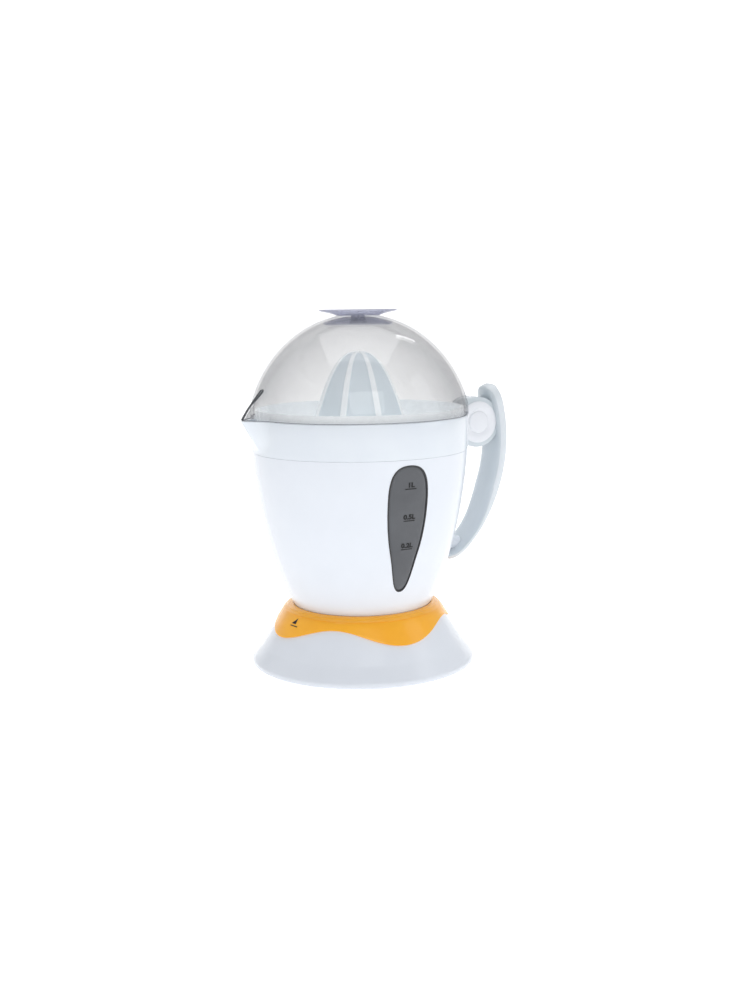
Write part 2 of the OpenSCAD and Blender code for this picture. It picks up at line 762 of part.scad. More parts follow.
// Pointed hood that roofs the spout
module hood(off) {
    r = spout_nose - off / 2;
    foot_z = rim_z - off;
    hull() {
        translate([-spout_reach + spout_nose + off, 0, foot_z]) cylinder(r = r, h = 1.2, $fn = part_fn);
        for (p = hood_ridge) translate(p + [off, 0, -off]) sphere(r = r, $fn = part_fn);
        for (s = [-1, 1]) {
            translate([spout_wing[0], s * (spout_wing[1] - off), foot_z])
                cylinder(r = r, h = 1.5, $fn = part_fn);
            for (p = hood_side) translate([p[0] + off, s * (p[1] - off), p[2] - off])
                sphere(r = r, $fn = part_fn);
        }
        translate([spout_wing[0] + 11, 0, foot_z]) cylinder(r = r, h = 6, $fn = part_fn);
    }
}
module dust_cover() {
    color(clear) difference() {
        union() {
            dome_solid(0, rim_z);
            hood(0);
        }
        dome_solid(dome_wall, rim_z - 1);
        hood(dome_wall);
        rod(knob_hole_r, 240, 260);
    }
}

knob_neck_r = 15.5;
knob_top_z = 258.2;
stem_r = 4.9;
module cover_knob() {
    color([0.72, 0.74, 0.79]) difference() {
        rotate_extrude() polygon(concat([[0, 250.2], [stem_r, 250.2], [stem_r, 255.6]],
            [for (i = [0:8]) let (r = 6 + (knob_neck_r - 6) * i / 8) [r, dome_mid_z + dome_c
                * sqrt(1 - pow(r / dome_a, 2)) + 0.15]],
            [for (i = [1:6]) let (u = i / 6)
                [knob_neck_r + (knob_r - knob_neck_r) * u, 254.3 + 2.9 * pow(u, 0.8)]],
            [[knob_r, knob_top_z - 0.4], [knob_r - 0.8, knob_top_z], [0, knob_top_z - 0.6]]));
        rod(screw_hole_r, 249, 256, $fn = part_fn);
    }
}

// Dished washer that follows the inside of the dome
retainer_r = 25;
retainer_t = 1.2;
module knob_retainer() {
    radii = [for (i = [0:8]) 9 + (retainer_r - 9) * i / 8];
    function under_dome(r, off) = dome_mid_z + (dome_c - off) * sqrt(1 - pow(r / (dome_a - off), 2));
    top_off = dome_wall + gap;
    color(clear) rotate_extrude() polygon(concat(
        [[stem_r + 0.1, under_dome(9, top_off)], [stem_r + 0.1, 250.3]],
        [for (r = radii) [r, under_dome(r, top_off + retainer_t)]],
        [for (i = [8:-1:0]) [radii[i], under_dome(radii[i], top_off)]]));
}

module knob_screw() {
    color(steel) translate([0, 0, 248.4]) screw(6.5, 1.5, screw_r, 4.5, $fn = part_fn);
}

base_housing();
motor_deck();
spindle_tower();
base_collar();
bottom_cover();
foot_ring();
case_posts();
plate_spacers();
cover_screws();
cord_gland();
gear_plate();
gear_plate_screws();
motor_can();
motor_coil();
rotor_bushes();
idler_pin();
spindle_bush();
switch_body();
switch_bracket();
bracket_screws();
return_spring();
switch_button();
rotor_magnet();
rotor_shaft();
rotor_pinion();
idler_gear();
output_gear();
spindle();
spindle_collar();
jug_body();
rim_ring();
level_window();
window_gasket();
handle();
handle_caps();
handle_pin();
strainer();
thrust_washer();
drive_hub();
reamer_cone();
dust_cover();
cover_knob();
knob_retainer();
knob_screw();
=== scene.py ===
"""Citrus press juicer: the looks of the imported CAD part, in the same frame.

Outlines are written in millimetres, like the part's own drawing, and turned into metres
when a mesh is made. +X points to the handle, -X to the spout and -Y to the level window.
"""

import json
import math

import bmesh
import bpy
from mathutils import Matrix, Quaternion, Vector


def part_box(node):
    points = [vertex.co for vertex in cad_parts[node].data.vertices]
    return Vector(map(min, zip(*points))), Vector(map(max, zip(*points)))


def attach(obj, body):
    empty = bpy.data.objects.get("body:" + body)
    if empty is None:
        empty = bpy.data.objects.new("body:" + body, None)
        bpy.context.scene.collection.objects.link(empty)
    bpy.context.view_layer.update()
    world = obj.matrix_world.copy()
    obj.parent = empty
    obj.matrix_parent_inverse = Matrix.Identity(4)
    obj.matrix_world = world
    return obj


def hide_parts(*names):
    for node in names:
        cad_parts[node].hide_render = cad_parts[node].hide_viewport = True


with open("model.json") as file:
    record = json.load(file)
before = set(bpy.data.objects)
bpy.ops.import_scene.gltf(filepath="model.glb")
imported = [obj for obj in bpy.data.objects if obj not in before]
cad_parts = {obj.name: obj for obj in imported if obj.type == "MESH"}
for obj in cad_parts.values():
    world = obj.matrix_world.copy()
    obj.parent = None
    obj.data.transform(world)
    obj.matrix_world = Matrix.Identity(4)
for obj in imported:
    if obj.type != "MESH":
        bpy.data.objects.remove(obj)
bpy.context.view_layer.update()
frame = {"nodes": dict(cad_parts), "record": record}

MM = 0.001


def low(node):
    """Lowest corner of a CAD node, in millimetres."""
    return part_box(node)[0] / MM


def high(node):
    """Highest corner of a CAD node, in millimetres."""
    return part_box(node)[1] / MM


# ---- sizes, in millimetres, read from the frame where it states them ----
SKIRT_R = high("base_housing")[0]
SKIRT_FOOT_Z = low("base_housing")[2]
NECK_R = 55.4
NECK_Z = 44.0
DECK_LOW_Z, DECK_TOP_Z = low("motor_deck")[2], high("motor_deck")[2]
DECK_R = high("motor_deck")[0]
COLLAR_MID_Z = 31.0
COLLAR_WAVE = 5.2
COLLAR_PHASE = 87.5
COLLAR_PROUD = 1.25
JUG_UNDER_Z = low("jug_body")[2]
JUG_FLOOR_Z = 43.0
JUG_FOOT_R = 50.8
JUG_WALL = 2.4
SEAM_Z = 157.4
MOUTH_Z = high("rim_ring")[2]
MOUTH_R = 78.4
SPOUT_REACH = -low("rim_ring")[0]
CHIMNEY_R = 9.0
CHIMNEY_BORE_R = 6.5
CHIMNEY_TOP_Z = high("jug_body")[2]
RIM_Z = low("dust_cover")[2]
DOME_MID_Z = 163.7
DOME_A = 82.6
DOME_C = 91.7
DOME_RIM_R = 79.2
DOME_WALL = 1.8
KNOB_R = high("cover_knob")[0]
KNOB_TOP_Z = high("cover_knob")[2]
STEM_R = 4.9
CONE_R = 34.6
CONE_FOOT_Z = 181.0
CONE_TIP_Z = 228.6
CONE_RIBS = 8
BRIM_R = high("reamer_cone")[0]
BRIM_Z = low("reamer_cone")[2]
PIVOT = Vector((93.5, 0, 173))
DRUM_R = 18.9
DRUM_HALF = 9.6
CAP_R = high("handle_caps")[0] - PIVOT[0]
CAP_Y = high("handle_caps")[1]
STRAP_CENTRE = Vector((3.6, 0, 160.3))
STRAP_R = 114.3
STRAP_W = 28.0


# ---- curves ----
def bezier(p, t):
    """Point of a cubic curve with the four control points p."""
    s = 1 - t
    return tuple(
        s ** 3 * a + 3 * s * s * t * b + 3 * s * t * t * c + t ** 3 * d
        for a, b, c, d in zip(*p)
    )


JUG_TOP_Z = 182.2
JUG_CURVE = [(JUG_FOOT_R, NECK_Z), (77.3, 96.7), (80.1, 172.6), (MOUTH_R, JUG_TOP_Z)]


def jug_r(z):
    """Radius of the jug's outside at height z."""
    lo, hi = 0.0, 1.0
    for _ in range(26):
        mid = (lo + hi) / 2
        if bezier(JUG_CURVE, mid)[1] < z:
            lo = mid
        else:
            hi = mid
    return bezier(JUG_CURVE, lo)[0]


def jug_side(z0, z1, off, steps):
    """(radius, height) points up the jug's side, moved out by off."""
    heights = [z0 + (z1 - z0) * i / steps for i in range(steps + 1)]
    return [(jug_r(z) + off, z) for z in heights]


def skirt_r(z):
    """Radius of the straight part of the base skirt at height z."""
    return NECK_R + (NECK_Z - z) * 19 / 30


def smooth_max(a, b, k):
    """The larger of a and b, blended about k wide where they meet."""
    return (a + b + math.hypot(a - b, k)) / 2


def smooth_min(a, b, k):
    """The smaller of a and b, blended about k wide where they meet."""
    return (a + b - math.hypot(a - b, k)) / 2


def ease(u):
    """0 to 1 with a soft start and end as u goes from 0 to 1."""
    v = min(1.0, max(0.0, u))
    return v * v * (3 - 2 * v)


def dome_r(z, off):
    """Radius of the dome at height z: an ellipse that turns upright near its rim."""
    u = min(1.0, max(0.0, (z - DOME_MID_Z) / (DOME_C - off)))
    return smooth_min(DOME_RIM_R - off, (DOME_A - off) * math.sqrt(1 - u * u), 0.8)


def rounded(points, steps=5):
    """A closed outline whose corners (x, z, radius) are rounded; a corner may leave the radius out."""
    out = []
    for i, corner in enumerate(points):
        here = Vector(corner[:2])
        if len(corner) < 3:
            out.append(tuple(here))
            continue
        back = Vector(points[i - 1][:2]) - here
        on = Vector(points[(i + 1) % len(points)][:2]) - here
        half = back.angle(on) / 2
        reach = min(corner[2] / math.tan(half), 0.48 * back.length, 0.48 * on.length)
        a = here + back.normalized() * reach
        b = here + on.normalized() * reach
        for k in range(steps + 1):
            t = k / steps
            out.append(tuple(a * (1 - t) ** 2 + here * 2 * t * (1 - t) + b * t * t))
    return out


# ---- mesh helpers ----
def turn(n, start=0.0):
    """n evenly spaced angles round a full turn, in radians."""
    return [start + 2 * math.pi * i / n for i in range(n)]


def fine_turn():
    """Angles round a full turn, closer together about the spout."""
    fine = [math.radians(180 + a / 2) for a in range(-40, 41)]
    coarse = [math.radians(-160 + a * 2) for a in range(1, 160)]
    return coarse + fine


def quads(loops, around=True, ring=True):
    """Vertices and faces that join neighbouring loops of points; around closes the last loop onto the
    first, and ring closes each loop."""
    n = len(loops[0])
    verts = [p for loop in loops for p in loop]
    faces = []
    for i in range(len(loops) if around else len(loops) - 1):
        j = (i + 1) % len(loops)
        for k in range(n if ring else n - 1):
            m = (k + 1) % n
            faces.append((i * n + k, j * n + k, j * n + m, i * n + m))
    return verts, faces


def spin(angles, profile):
    """Loops made by standing profile(angle), a list of (radius, height), at each angle."""
    loops = []
    for a in angles:
        loops.append([(r * math.cos(a), r * math.sin(a), z) for r, z in profile(a)])
    return loops


def piece(name, verts, faces, body, slot, stands_for=(), sharp=38, look=None):
    """A mesh piece from points in millimetres, riding on a body, with creases sharper than sharp kept.
    look names another of the materials than its slot's own."""
    mesh = bpy.data.meshes.new(name)
    mesh.from_pydata([Vector(v) * MM for v in verts], [], faces)
    work = bmesh.new()
    work.from_mesh(mesh)
    bmesh.ops.remove_doubles(work, verts=work.verts, dist=2e-6)
    bmesh.ops.dissolve_degenerate(work, edges=work.edges, dist=1e-6)
    bmesh.ops.recalc_face_normals(work, faces=work.faces)
    crease(work, sharp)
    work.to_mesh(mesh)
    work.free()
    obj = bpy.data.objects.new(name, mesh)
    bpy.context.collection.objects.link(obj)
    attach(obj, body)
    if stands_for:
        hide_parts(*stands_for)
    obj.data.materials.append(MATERIALS[look or slot])
    return obj


def crease(work, sharp):
    """Smooth shading, apart from the edges sharper than sharp degrees."""
    limit = math.radians(sharp)
    for f in work.faces:
        f.smooth = True
    for e in work.edges:
        e.smooth = len(e.link_faces) == 2 and e.calc_face_angle(0) < limit


def capped(loops):
    """Closed loops joined in a row, with a fan of triangles at each end."""
    verts, faces = quads(loops, around=False)
    n = len(loops[0])
    for start, loop in ((0, loops[0]), ((len(loops) - 1) * n, loops[-1])):
        middle = sum((Vector(p) for p in loop), Vector()) / n
        verts.append(tuple(middle))
        faces += [(start + k, start + (k + 1) % n, len(verts) - 1) for k in range(n)]
    return verts, faces


def sweep(path, radius_at, sides=12):
    """Loops of a round tube along path; radius_at(share of its length) is its radius."""
    points = [Vector(p) for p in path]
    loops = []
    side = None
    for i, p in enumerate(points):
        along = (points[min(i + 1, len(points) - 1)] - points[max(i - 1, 0)]).normalized()
        if side is None:
            side = along.orthogonal().normalized()
        side = (side - along * side.dot(along)).normalized()
        up = along.cross(side)
        r = radius_at(i / (len(points) - 1))
        loops.append([tuple(p + (side * math.cos(a) + up * math.sin(a)) * r) for a in turn(sides)])
    return loops


def cut(obj, verts, faces):
    """Takes a closed solid, given in millimetres, out of obj."""
    mesh = bpy.data.meshes.new("cutter")
    mesh.from_pydata([Vector(v) * MM for v in verts], [], faces)
    work = bmesh.new()
    work.from_mesh(mesh)
    bmesh.ops.recalc_face_normals(work, faces=work.faces)
    work.to_mesh(mesh)
    work.free()
    cutter = bpy.data.objects.new("cutter", mesh)
    bpy.context.collection.objects.link(cutter)
    step = obj.modifiers.new("cut", "BOOLEAN")
    step.operation = "DIFFERENCE"
    step.solver = "EXACT"
    step.object = cutter
    graph = bpy.context.evaluated_depsgraph_get()
    made = bpy.data.meshes.new_from_object(obj.evaluated_get(graph))
    obj.modifiers.remove(step)
    obj.data = made
    bpy.data.objects.remove(cutter)


def shade_by(obj, normal_at, sharp=38):
    """Gives the faces that lie on a known curved wall that wall's own normals."""
    mesh = obj.data
    work = bmesh.new()
    work.from_mesh(mesh)
    crease(work, sharp)
    work.to_mesh(mesh)
    work.free()
    normals = [Vector(n.vector) for n in mesh.corner_normals]
    for face in mesh.polygons:
        for i in face.loop_indices:
            known = normal_at(mesh.vertices[mesh.loops[i].vertex_index].co / MM, face.normal)
            if known is not None:
                normals[i] = known
    mesh.normals_split_custom_set(normals)


# ---- materials ----
def nodes_of(name):
    """A new node material, its tree and its main shader."""
    mat = bpy.data.materials.new(name)
    mat.use_nodes = True
    tree = mat.node_tree
    return mat, tree, tree.nodes["Principled BSDF"]


def noise(tree, scale, detail, stretch=(1, 1, 1)):
    """Procedural noise in the object's own space, stretched along its axes."""
    where = tree.nodes.new("ShaderNodeTexCoord")
    place = tree.nodes.new("ShaderNodeMapping")
    place.inputs["Scale"].default_value = stretch
    tex = tree.nodes.new("ShaderNodeTexNoise")
    tex.inputs["Scale"].default_value = scale
    tex.inputs["Detail"].default_value = detail
    tree.links.new(where.outputs["Object"], place.inputs["Vector"])
    tree.links.new(place.outputs["Vector"], tex.inputs["Vector"])
    return tex.outputs["Fac"]


def spread(tree, fac, low_value, high_value):
    """fac, mapped from noise's usual range to low_value..high_value."""
    node = tree.nodes.new("ShaderNodeMapRange")
    node.inputs["From Min"].default_value = 0.3
    node.inputs["From Max"].default_value = 0.7
    node.inputs["To Min"].default_value = low_value
    node.inputs["To Max"].default_value = high_value
    tree.links.new(fac, node.inputs["Value"])
    return node.outputs["Result"]


def two_tone(tree, fac, dark, light):
    """A colour that drifts from dark to light with fac."""
    ramp = tree.nodes.new("ShaderNodeValToRGB")
    ramp.color_ramp.elements[0].position = 0.35
    ramp.color_ramp.elements[0].color = (*dark, 1)
    ramp.color_ramp.elements[1].position = 0.65
    ramp.color_ramp.elements[1].color = (*light, 1)
    tree.links.new(fac, ramp.inputs["Fac"])
    return ramp.outputs["Color"]


def bump(tree, shader, fac, strength, distance):
    """Fine relief on a shader's surface, as high as fac."""
    node = tree.nodes.new("ShaderNodeBump")
    node.inputs["Strength"].default_value = strength
    node.inputs["Distance"].default_value = distance
    tree.links.new(fac, node.inputs["Height"])
    tree.links.new(node.outputs["Normal"], shader.inputs["Normal"])


def plastic(name, light, shade, rough, grain=900, coat=0.0, painted_glow=0.0):
    """Moulded plastic: faint cloudy colour, uneven polish and a fine skin; its last argument is an even
    emission, painted light in place of the light a translucent plastic lets through from behind."""
    mat, tree, shader = nodes_of(name)
    cloud = noise(tree, 28, 4)
    tree.links.new(two_tone(tree, cloud, shade, light), shader.inputs["Base Color"])
    polish = noise(tree, 160, 5)
    tree.links.new(spread(tree, polish, rough * 0.95, rough * 1.12), shader.inputs["Roughness"])
    skin = noise(tree, grain, 3)
    bump(tree, shader, skin, 0.05, 0.0002)
    # Painted light: an even emission that makes the part glow though it is no lamp.
    if painted_glow:
        shader.inputs["Emission Color"].default_value = (*light, 1)
        shader.inputs["Emission Strength"].default_value = painted_glow
    shader.inputs["IOR"].default_value = 1.49
    shader.inputs["Coat Weight"].default_value = coat
    shader.inputs["Coat Roughness"].default_value = 0.04
    return mat


def clear_plastic(name, tint, edge, film, rough, body):
    """Thin clear moulding: tinted, darker edge-on, faint flow lines, a mirror that grows edge-on, and a
    share, film, of plain glossy plastic of the colour body."""
    mat, tree, shader = nodes_of(name)
    slant = tree.nodes.new("ShaderNodeLayerWeight")
    slant.inputs["Blend"].default_value = 0.5
    flow = noise(tree, 22, 3, (1, 1, 0.25))
    fade = tree.nodes.new("ShaderNodeMix")
    fade.data_type = "RGBA"
    fade.inputs["B"].default_value = (*edge, 1)
    tree.links.new(slant.outputs["Facing"], fade.inputs["Factor"])
    tree.links.new(two_tone(tree, flow, tuple(c * 0.985 for c in tint), tint), fade.inputs["A"])
    through = tree.nodes.new("ShaderNodeBsdfTransparent")
    tree.links.new(fade.outputs["Result"], through.inputs["Color"])
    tree.links.new(two_tone(tree, flow, tuple(c * 0.96 for c in body), body), shader.inputs["Base Color"])
    polish = noise(tree, 120, 4)
    tree.links.new(spread(tree, polish, rough * 0.6, rough * 1.6), shader.inputs["Roughness"])
    bump(tree, shader, noise(tree, 40, 1), 0.04, 0.0006)
    mirror = tree.nodes.new("ShaderNodeBsdfGlossy")
    tree.links.new(shader.inputs["Roughness"].links[0].from_socket, mirror.inputs["Roughness"])
    tree.links.new(shader.inputs["Normal"].links[0].from_socket, mirror.inputs["Normal"])
    steep = tree.nodes.new("ShaderNodeMath")
    steep.operation = "POWER"
    steep.inputs[1].default_value = 4.0
    tree.links.new(slant.outputs["Facing"], steep.inputs[0])
    glance = tree.nodes.new("ShaderNodeMapRange")
    glance.inputs["To Min"].default_value = 0.035
    glance.inputs["To Max"].default_value = 0.4
    tree.links.new(steep.outputs["Value"], glance.inputs["Value"])
    skin = tree.nodes.new("ShaderNodeMixShader")
    skin.inputs["Fac"].default_value = film
    tree.links.new(through.outputs["BSDF"], skin.inputs[1])
    tree.links.new(shader.outputs["BSDF"], skin.inputs[2])
    whole = tree.nodes.new("ShaderNodeMixShader")
    tree.links.new(glance.outputs["Result"], whole.inputs["Fac"])
    tree.links.new(skin.outputs["Shader"], whole.inputs[1])
    tree.links.new(mirror.outputs["BSDF"], whole.inputs[2])
    tree.links.new(whole.outputs["Shader"], tree.nodes["Material Output"].inputs["Surface"])
    return mat


def metal(name, light, dark, rough, stretch=(1, 1, 14)):
    """Turned or drawn metal with fine directional lines and a little tarnish."""
    mat, tree, shader = nodes_of(name)
    cloud = noise(tree, 60, 5)
    tree.links.new(two_tone(tree, cloud, dark, light), shader.inputs["Base Color"])
    lines = noise(tree, 420, 6, stretch)
    tree.links.new(spread(tree, lines, rough * 0.7, rough * 1.4), shader.inputs["Roughness"])
    bump(tree, shader, lines, 0.12, 0.0002)
    shader.inputs["Metallic"].default_value = 1.0
    return mat


MATERIALS = {
    "white_gloss": plastic("white_abs", (0.83, 0.87, 0.93), (0.81, 0.85, 0.91), 0.20, coat=0.25),
    "band_gloss": plastic("rim_abs", (0.82, 0.87, 0.92), (0.79, 0.84, 0.90), 0.16, coat=0.35),
    # Painted light: the orange collar glows faintly though it is no lamp.
    "orange_gloss": plastic("orange_abs", (1.0, 0.47, 0.024), (0.97, 0.43, 0.018), 0.24, coat=0.3,
                            painted_glow=0.07),
    "smoke_window": plastic("smoked_window", (0.088, 0.094, 0.105), (0.070, 0.075, 0.085), 0.16, coat=0.4),
    "clear_cover": clear_plastic("clear_polystyrene", (0.965, 0.965, 0.963), (0.77, 0.77, 0.775), 0.02, 0.03,
                                 (0.55, 0.56, 0.59)),
    "cap_silver": plastic("cap_abs", (0.86, 0.88, 0.92), (0.83, 0.85, 0.89), 0.22, coat=0.2),
    "knob_clear": clear_plastic("knob_polystyrene", (0.92, 0.925, 0.96), (0.55, 0.56, 0.66), 0.34, 0.05,
                                (0.44, 0.46, 0.58)),
    "lens_clear": clear_plastic("lens_polystyrene", (0.965, 0.967, 0.985), (0.84, 0.85, 0.90), 0.12, 0.05,
                                (0.74, 0.76, 0.86)),
    # Painted shade: a dark clear plastic for the dome's cut rim.
    "rim_edge_shade": clear_plastic("rim_edge_shade_polystyrene", (0.45, 0.46, 0.50), (0.20, 0.21, 0.24), 0.35, 0.08,
                              (0.10, 0.11, 0.13)),
    # Painted shade: the handle is the same white plastic as the jug; these two greyed copies paint its shade,
    # the darker one on the strap's inner face and the drum, the lighter one on the strap's other faces.
    "handle_lit_side": plastic("handle_lit_side_abs", (0.76, 0.81, 0.85), (0.73, 0.78, 0.82), 0.24, coat=0.2),
    "handle_painted_shade": plastic("handle_painted_shade_abs", (0.66, 0.72, 0.76), (0.63, 0.69, 0.73), 0.24, coat=0.3),
    # Painted shade: a darker copy of the cone plastic for the hollow panels between the ribs.
    "cone_panel_shade": plastic("cone_panel_shade_abs", (0.74, 0.81, 0.86), (0.70, 0.78, 0.83), 0.32, painted_glow=0.13),
    "ink": plastic("print_ink", (0.006, 0.006, 0.007), (0.004, 0.004, 0.005), 0.65),
    # Painted light: the cone, and the strainer that shares this plastic, glow faintly though they are no
    # lamps.
    "cone_white": plastic("cone_abs", (0.93, 0.96, 0.98), (0.90, 0.94, 0.96), 0.26, coat=0.2, painted_glow=0.19),
    "rubber_dark": plastic("seal_rubber", (0.045, 0.045, 0.048), (0.03, 0.03, 0.032), 0.55, grain=1500),
    "black_plastic": plastic("black_pbt", (0.022, 0.022, 0.024), (0.014, 0.014, 0.016), 0.45),
    "nylon": plastic("natural_nylon", (0.74, 0.70, 0.58), (0.68, 0.63, 0.50), 0.42, grain=1200),
    "steel": metal("zinc_steel", (0.62, 0.63, 0.65), (0.50, 0.51, 0.53), 0.30),
    "brass": metal("sintered_brass", (0.72, 0.53, 0.22), (0.58, 0.41, 0.16), 0.36),
    "copper": metal("enamelled_copper", (0.70, 0.30, 0.14), (0.52, 0.20, 0.09), 0.34, (1, 1, 40)),
    "ferrite": plastic("ferrite_magnet", (0.055, 0.055, 0.058), (0.04, 0.04, 0.043), 0.5, grain=500),
}


# ---- base ----
def build_base():
    """Conical skirt with a rolled foot, a neck with a ledge under the deck, and the cord gland's hole."""
    foot = SKIRT_FOOT_Z
    straight = [(skirt_r(z), z) for z in range(18, 41, 3)]
    outline = rounded([
        (SKIRT_R - 2.8, foot, 0.5), (SKIRT_R, foot, 1.4), (SKIRT_R, foot + 3.2, 3.5),
        (74.4, 14, 30), *straight, (NECK_R + 0.9, NECK_Z - 1.4, 0.3), (NECK_R, NECK_Z - 0.7, 0.2),
        (DECK_R + 0.1, NECK_Z - 0.7, 0.1),
        (DECK_R + 0.08, DECK_TOP_Z), (DECK_R + 0.05, DECK_LOW_Z), (DECK_R - 1, DECK_LOW_Z, 0.2),
        (DECK_R - 1, DECK_LOW_Z - 1.2, 0.3), (skirt_r(DECK_LOW_Z) - 3.4, DECK_LOW_Z - 2.2, 1), (71.8, 14),
        (SKIRT_R - 5, 6.6), (SKIRT_R - 2.8, 4.6)])
    verts, faces = quads(spin(turn(240), lambda a: outline))
    skirt = piece("base_skirt", verts, faces, "base", "white_gloss", ["base_housing"])
    gland_lo, gland_hi = low("cord_gland"), high("cord_gland")
    middle_z, hole_r = 10.0, 5.2
    hole = [[(hole_r * math.cos(a), y, middle_z + hole_r * math.sin(a)) for a in turn(40)]
            for y in (gland_lo[1] - 4, gland_hi[1] + 4)]
    cut(skirt, *capped(hole))
    slope = Vector((30, 19)).normalized()

    def wall(p, normal):
        if 15 < p[2] < 42.4 and normal.z > 0.2 and math.hypot(p[0], p[1]) > skirt_r(p[2]) - 0.5:
            a = math.atan2(p[1], p[0])
            return Vector((slope[0] * math.cos(a), slope[0] * math.sin(a), slope[1]))
        return None
    shade_by(skirt, wall)


def collar_low(a):
    """Height of the collar's wavy lower edge at angle a."""
    return COLLAR_MID_Z - COLLAR_WAVE * math.cos(4 * (a + math.radians(COLLAR_PHASE)))


def build_collar():
    """Thin orange collar that follows the skirt, with four lobes below and a lip round the jug."""
    top_z = 41.4
    lip_z = 44.8
    lip_r = jug_r(lip_z) + 0.25

    def profile(a):
        z = collar_low(a)
        inner, outer = 0.06, COLLAR_PROUD
        rise = [(skirt_r(z + (top_z - z) * k / 6) + outer, z + (top_z - z) * k / 6) for k in range(1, 6)]
        edge = rounded([(skirt_r(z) + inner, z), (skirt_r(z) + outer, z, 0.8), rise[0]])[:7]
        crown = rounded([
            (skirt_r(top_z) + outer, top_z, 2.2), (lip_r + 2.6, lip_z - 0.5, 2.0), (lip_r, lip_z, 0.2),
            (lip_r, lip_z - 0.7), (53.8, lip_z - 1.3), (55.6, lip_z - 1.3), (skirt_r(42) + inner, 42)])
        return edge + rise + crown
    verts, faces = quads(spin(turn(288), profile))
    piece("collar_skin", verts, faces, "base", "orange_gloss", ["base_collar"])


def collar_mark():
    """Small printed arrow over a short line on the collar's left lobe."""
    az, z0, columns = math.radians(-167.3), 37.0, 8
    proud, sunk = 0.08, -0.1
    for name, x0, x1, low_z, top_z in (("collar_arrow", -3.2, 1.6, (-0.6, -0.6), (-0.55, 3.2)),
                                       ("collar_line", -3.8, 4.4, (-2.2, -2.2), (-1.6, -1.6))):
        loops = []
        for i in range(columns + 1):
            t = i / columns
            x = x0 + (x1 - x0) * t
            edges = [z0 + e[0] + (e[1] - e[0]) * t for e in (low_z, top_z)]
            loop = []
            for z, lift in ((edges[0], proud), (edges[1], proud), (edges[1], sunk), (edges[0], sunk)):
                r = skirt_r(z) + COLLAR_PROUD + lift
                loop.append((r * math.cos(az + x / r), r * math.sin(az + x / r), z))
            loops.append(loop)
        piece(name, *capped(loops), "base", "black_plastic", look="ink")


# ---- jug ----
WINDOW_X = 1.9
WINDOW_MID_Z = 108.0
WINDOW_CURVES = [
    [(0, 62.2), (6.4, 62.2), (7.0, 76), (10.9, 91)],
    [(10.9, 91), (14.8, 106), (15.6, 121), (15.4, 131)],
    [(15.4, 131), (15.2, 147), (11, 153.8), (0, 153.8)],
]
WINDOW_HALF_W = 15.4
WINDOW_HALF_H = 45.8


def window_outline(inset, steps=16):
    """Teardrop outline of the level window as (x, z) points, shrunk towards its middle by inset."""
    right = [bezier(c, i / steps) for c in WINDOW_CURVES for i in range(steps)]
    right.append(WINDOW_CURVES[-1][-1])
    full = right + [(-x, z) for x, z in right[-2:0:-1]]
    sx, sz = 1 - inset / WINDOW_HALF_W, 1 - inset / WINDOW_HALF_H
    return [(WINDOW_X + x * sx, WINDOW_MID_Z + (z - WINDOW_MID_Z) * sz) for x, z in full]


def on_jug(x, z, off):
    """The point of the jug's front wall, moved out by off, seen at (x, z) along Y."""
    r = jug_r(z) + off
    return (x, -math.sqrt(r * r - x * x), z)


def build_jug():
    """Jug wall with its floor and the chimney round the spindle, and the window's opening cut out."""
    outer = jug_side(NECK_Z + 1, SEAM_Z - 0.15, 0, 40)
    inner = jug_side(JUG_FLOOR_Z + 4, SEAM_Z, -JUG_WALL, 40)
    foot = rounded([(CHIMNEY_BORE_R, JUG_UNDER_Z, 0.3), (JUG_FOOT_R - 2, JUG_UNDER_Z, 1.5),
                    (jug_r(NECK_Z + 1), NECK_Z + 1)])[:-1]
    inside = rounded([
        inner[0], (JUG_FOOT_R - JUG_WALL - 1, JUG_FLOOR_Z, 2.5), (CHIMNEY_R + 0.6, JUG_FLOOR_Z, 1.5),
        (CHIMNEY_R - 0.4, CHIMNEY_TOP_Z, 0.6), (CHIMNEY_BORE_R, CHIMNEY_TOP_Z, 0.4),
        (CHIMNEY_BORE_R, JUG_UNDER_Z + 3)])[1:]
    outline = foot + outer + [(jug_r(SEAM_Z) - 0.15, SEAM_Z)] + inner[::-1] + inside
    verts, faces = quads(spin(turn(240), lambda a: outline))
    jug = piece("jug_wall", verts, faces, "jug", "white_gloss", ["jug_body"])
    prism = [[(x, y, z) for x, z in window_outline(0)] for y in (-95, -40)]
    cut(jug, *capped(prism))

    def wall(p, normal):
        r = math.hypot(p[0], p[1])
        if not JUG_FLOOR_Z + 5 < p[2] < SEAM_Z - 1:
            return None
        slope = jug_r(p[2] + 0.5) - jug_r(p[2] - 0.5)
        flat = Vector((p[0], p[1], 0)).normalized()
        out = (flat - Vector((0, 0, slope))).normalized()
        if abs(r - jug_r(p[2])) < 0.05 and normal.dot(out) > 0.9:
            return out
        if abs(r - jug_r(p[2]) + JUG_WALL) < 0.05 and normal.dot(out) < -0.9:
            return -out
        return None
    shade_by(jug, wall)


def build_window():
    """Smoked pane, set a little below the wall, with its raised seal round it."""
    shares = [1, 0.93, 0.8, 0.6, 0.4, 0.2, 0.02]
    edge = window_outline(1.2)
    mid = (WINDOW_X, WINDOW_MID_Z)
    loops = []
    for off, order in ((-2.1, shares[::-1]), (-0.15, shares)):
        for s in order:
            drop = 0.35 if off > -1 and s == 1 else 0
            loops.append([on_jug(mid[0] + (x - mid[0]) * s, mid[1] + (z - mid[1]) * s, off - drop)
                          for x, z in edge])
    piece("window_pane", *capped(loops), "jug", "smoke_window", ["level_window"])
    section = [(0.02, -2.2), (0.02, 0.10), (0.22, 0.26), (0.62, 0.30), (1.02, 0.20), (1.25, -0.1),
               (1.25, -2.2)]
    outlines = [(window_outline(inset), off) for inset, off in section]
    loops = [[on_jug(*o[i], off) for o, off in outlines] for i in range(len(outlines[0][0]))]
    piece("window_seal", *quads(loops), "jug", "rubber_dark", ["window_gasket"], sharp=50)


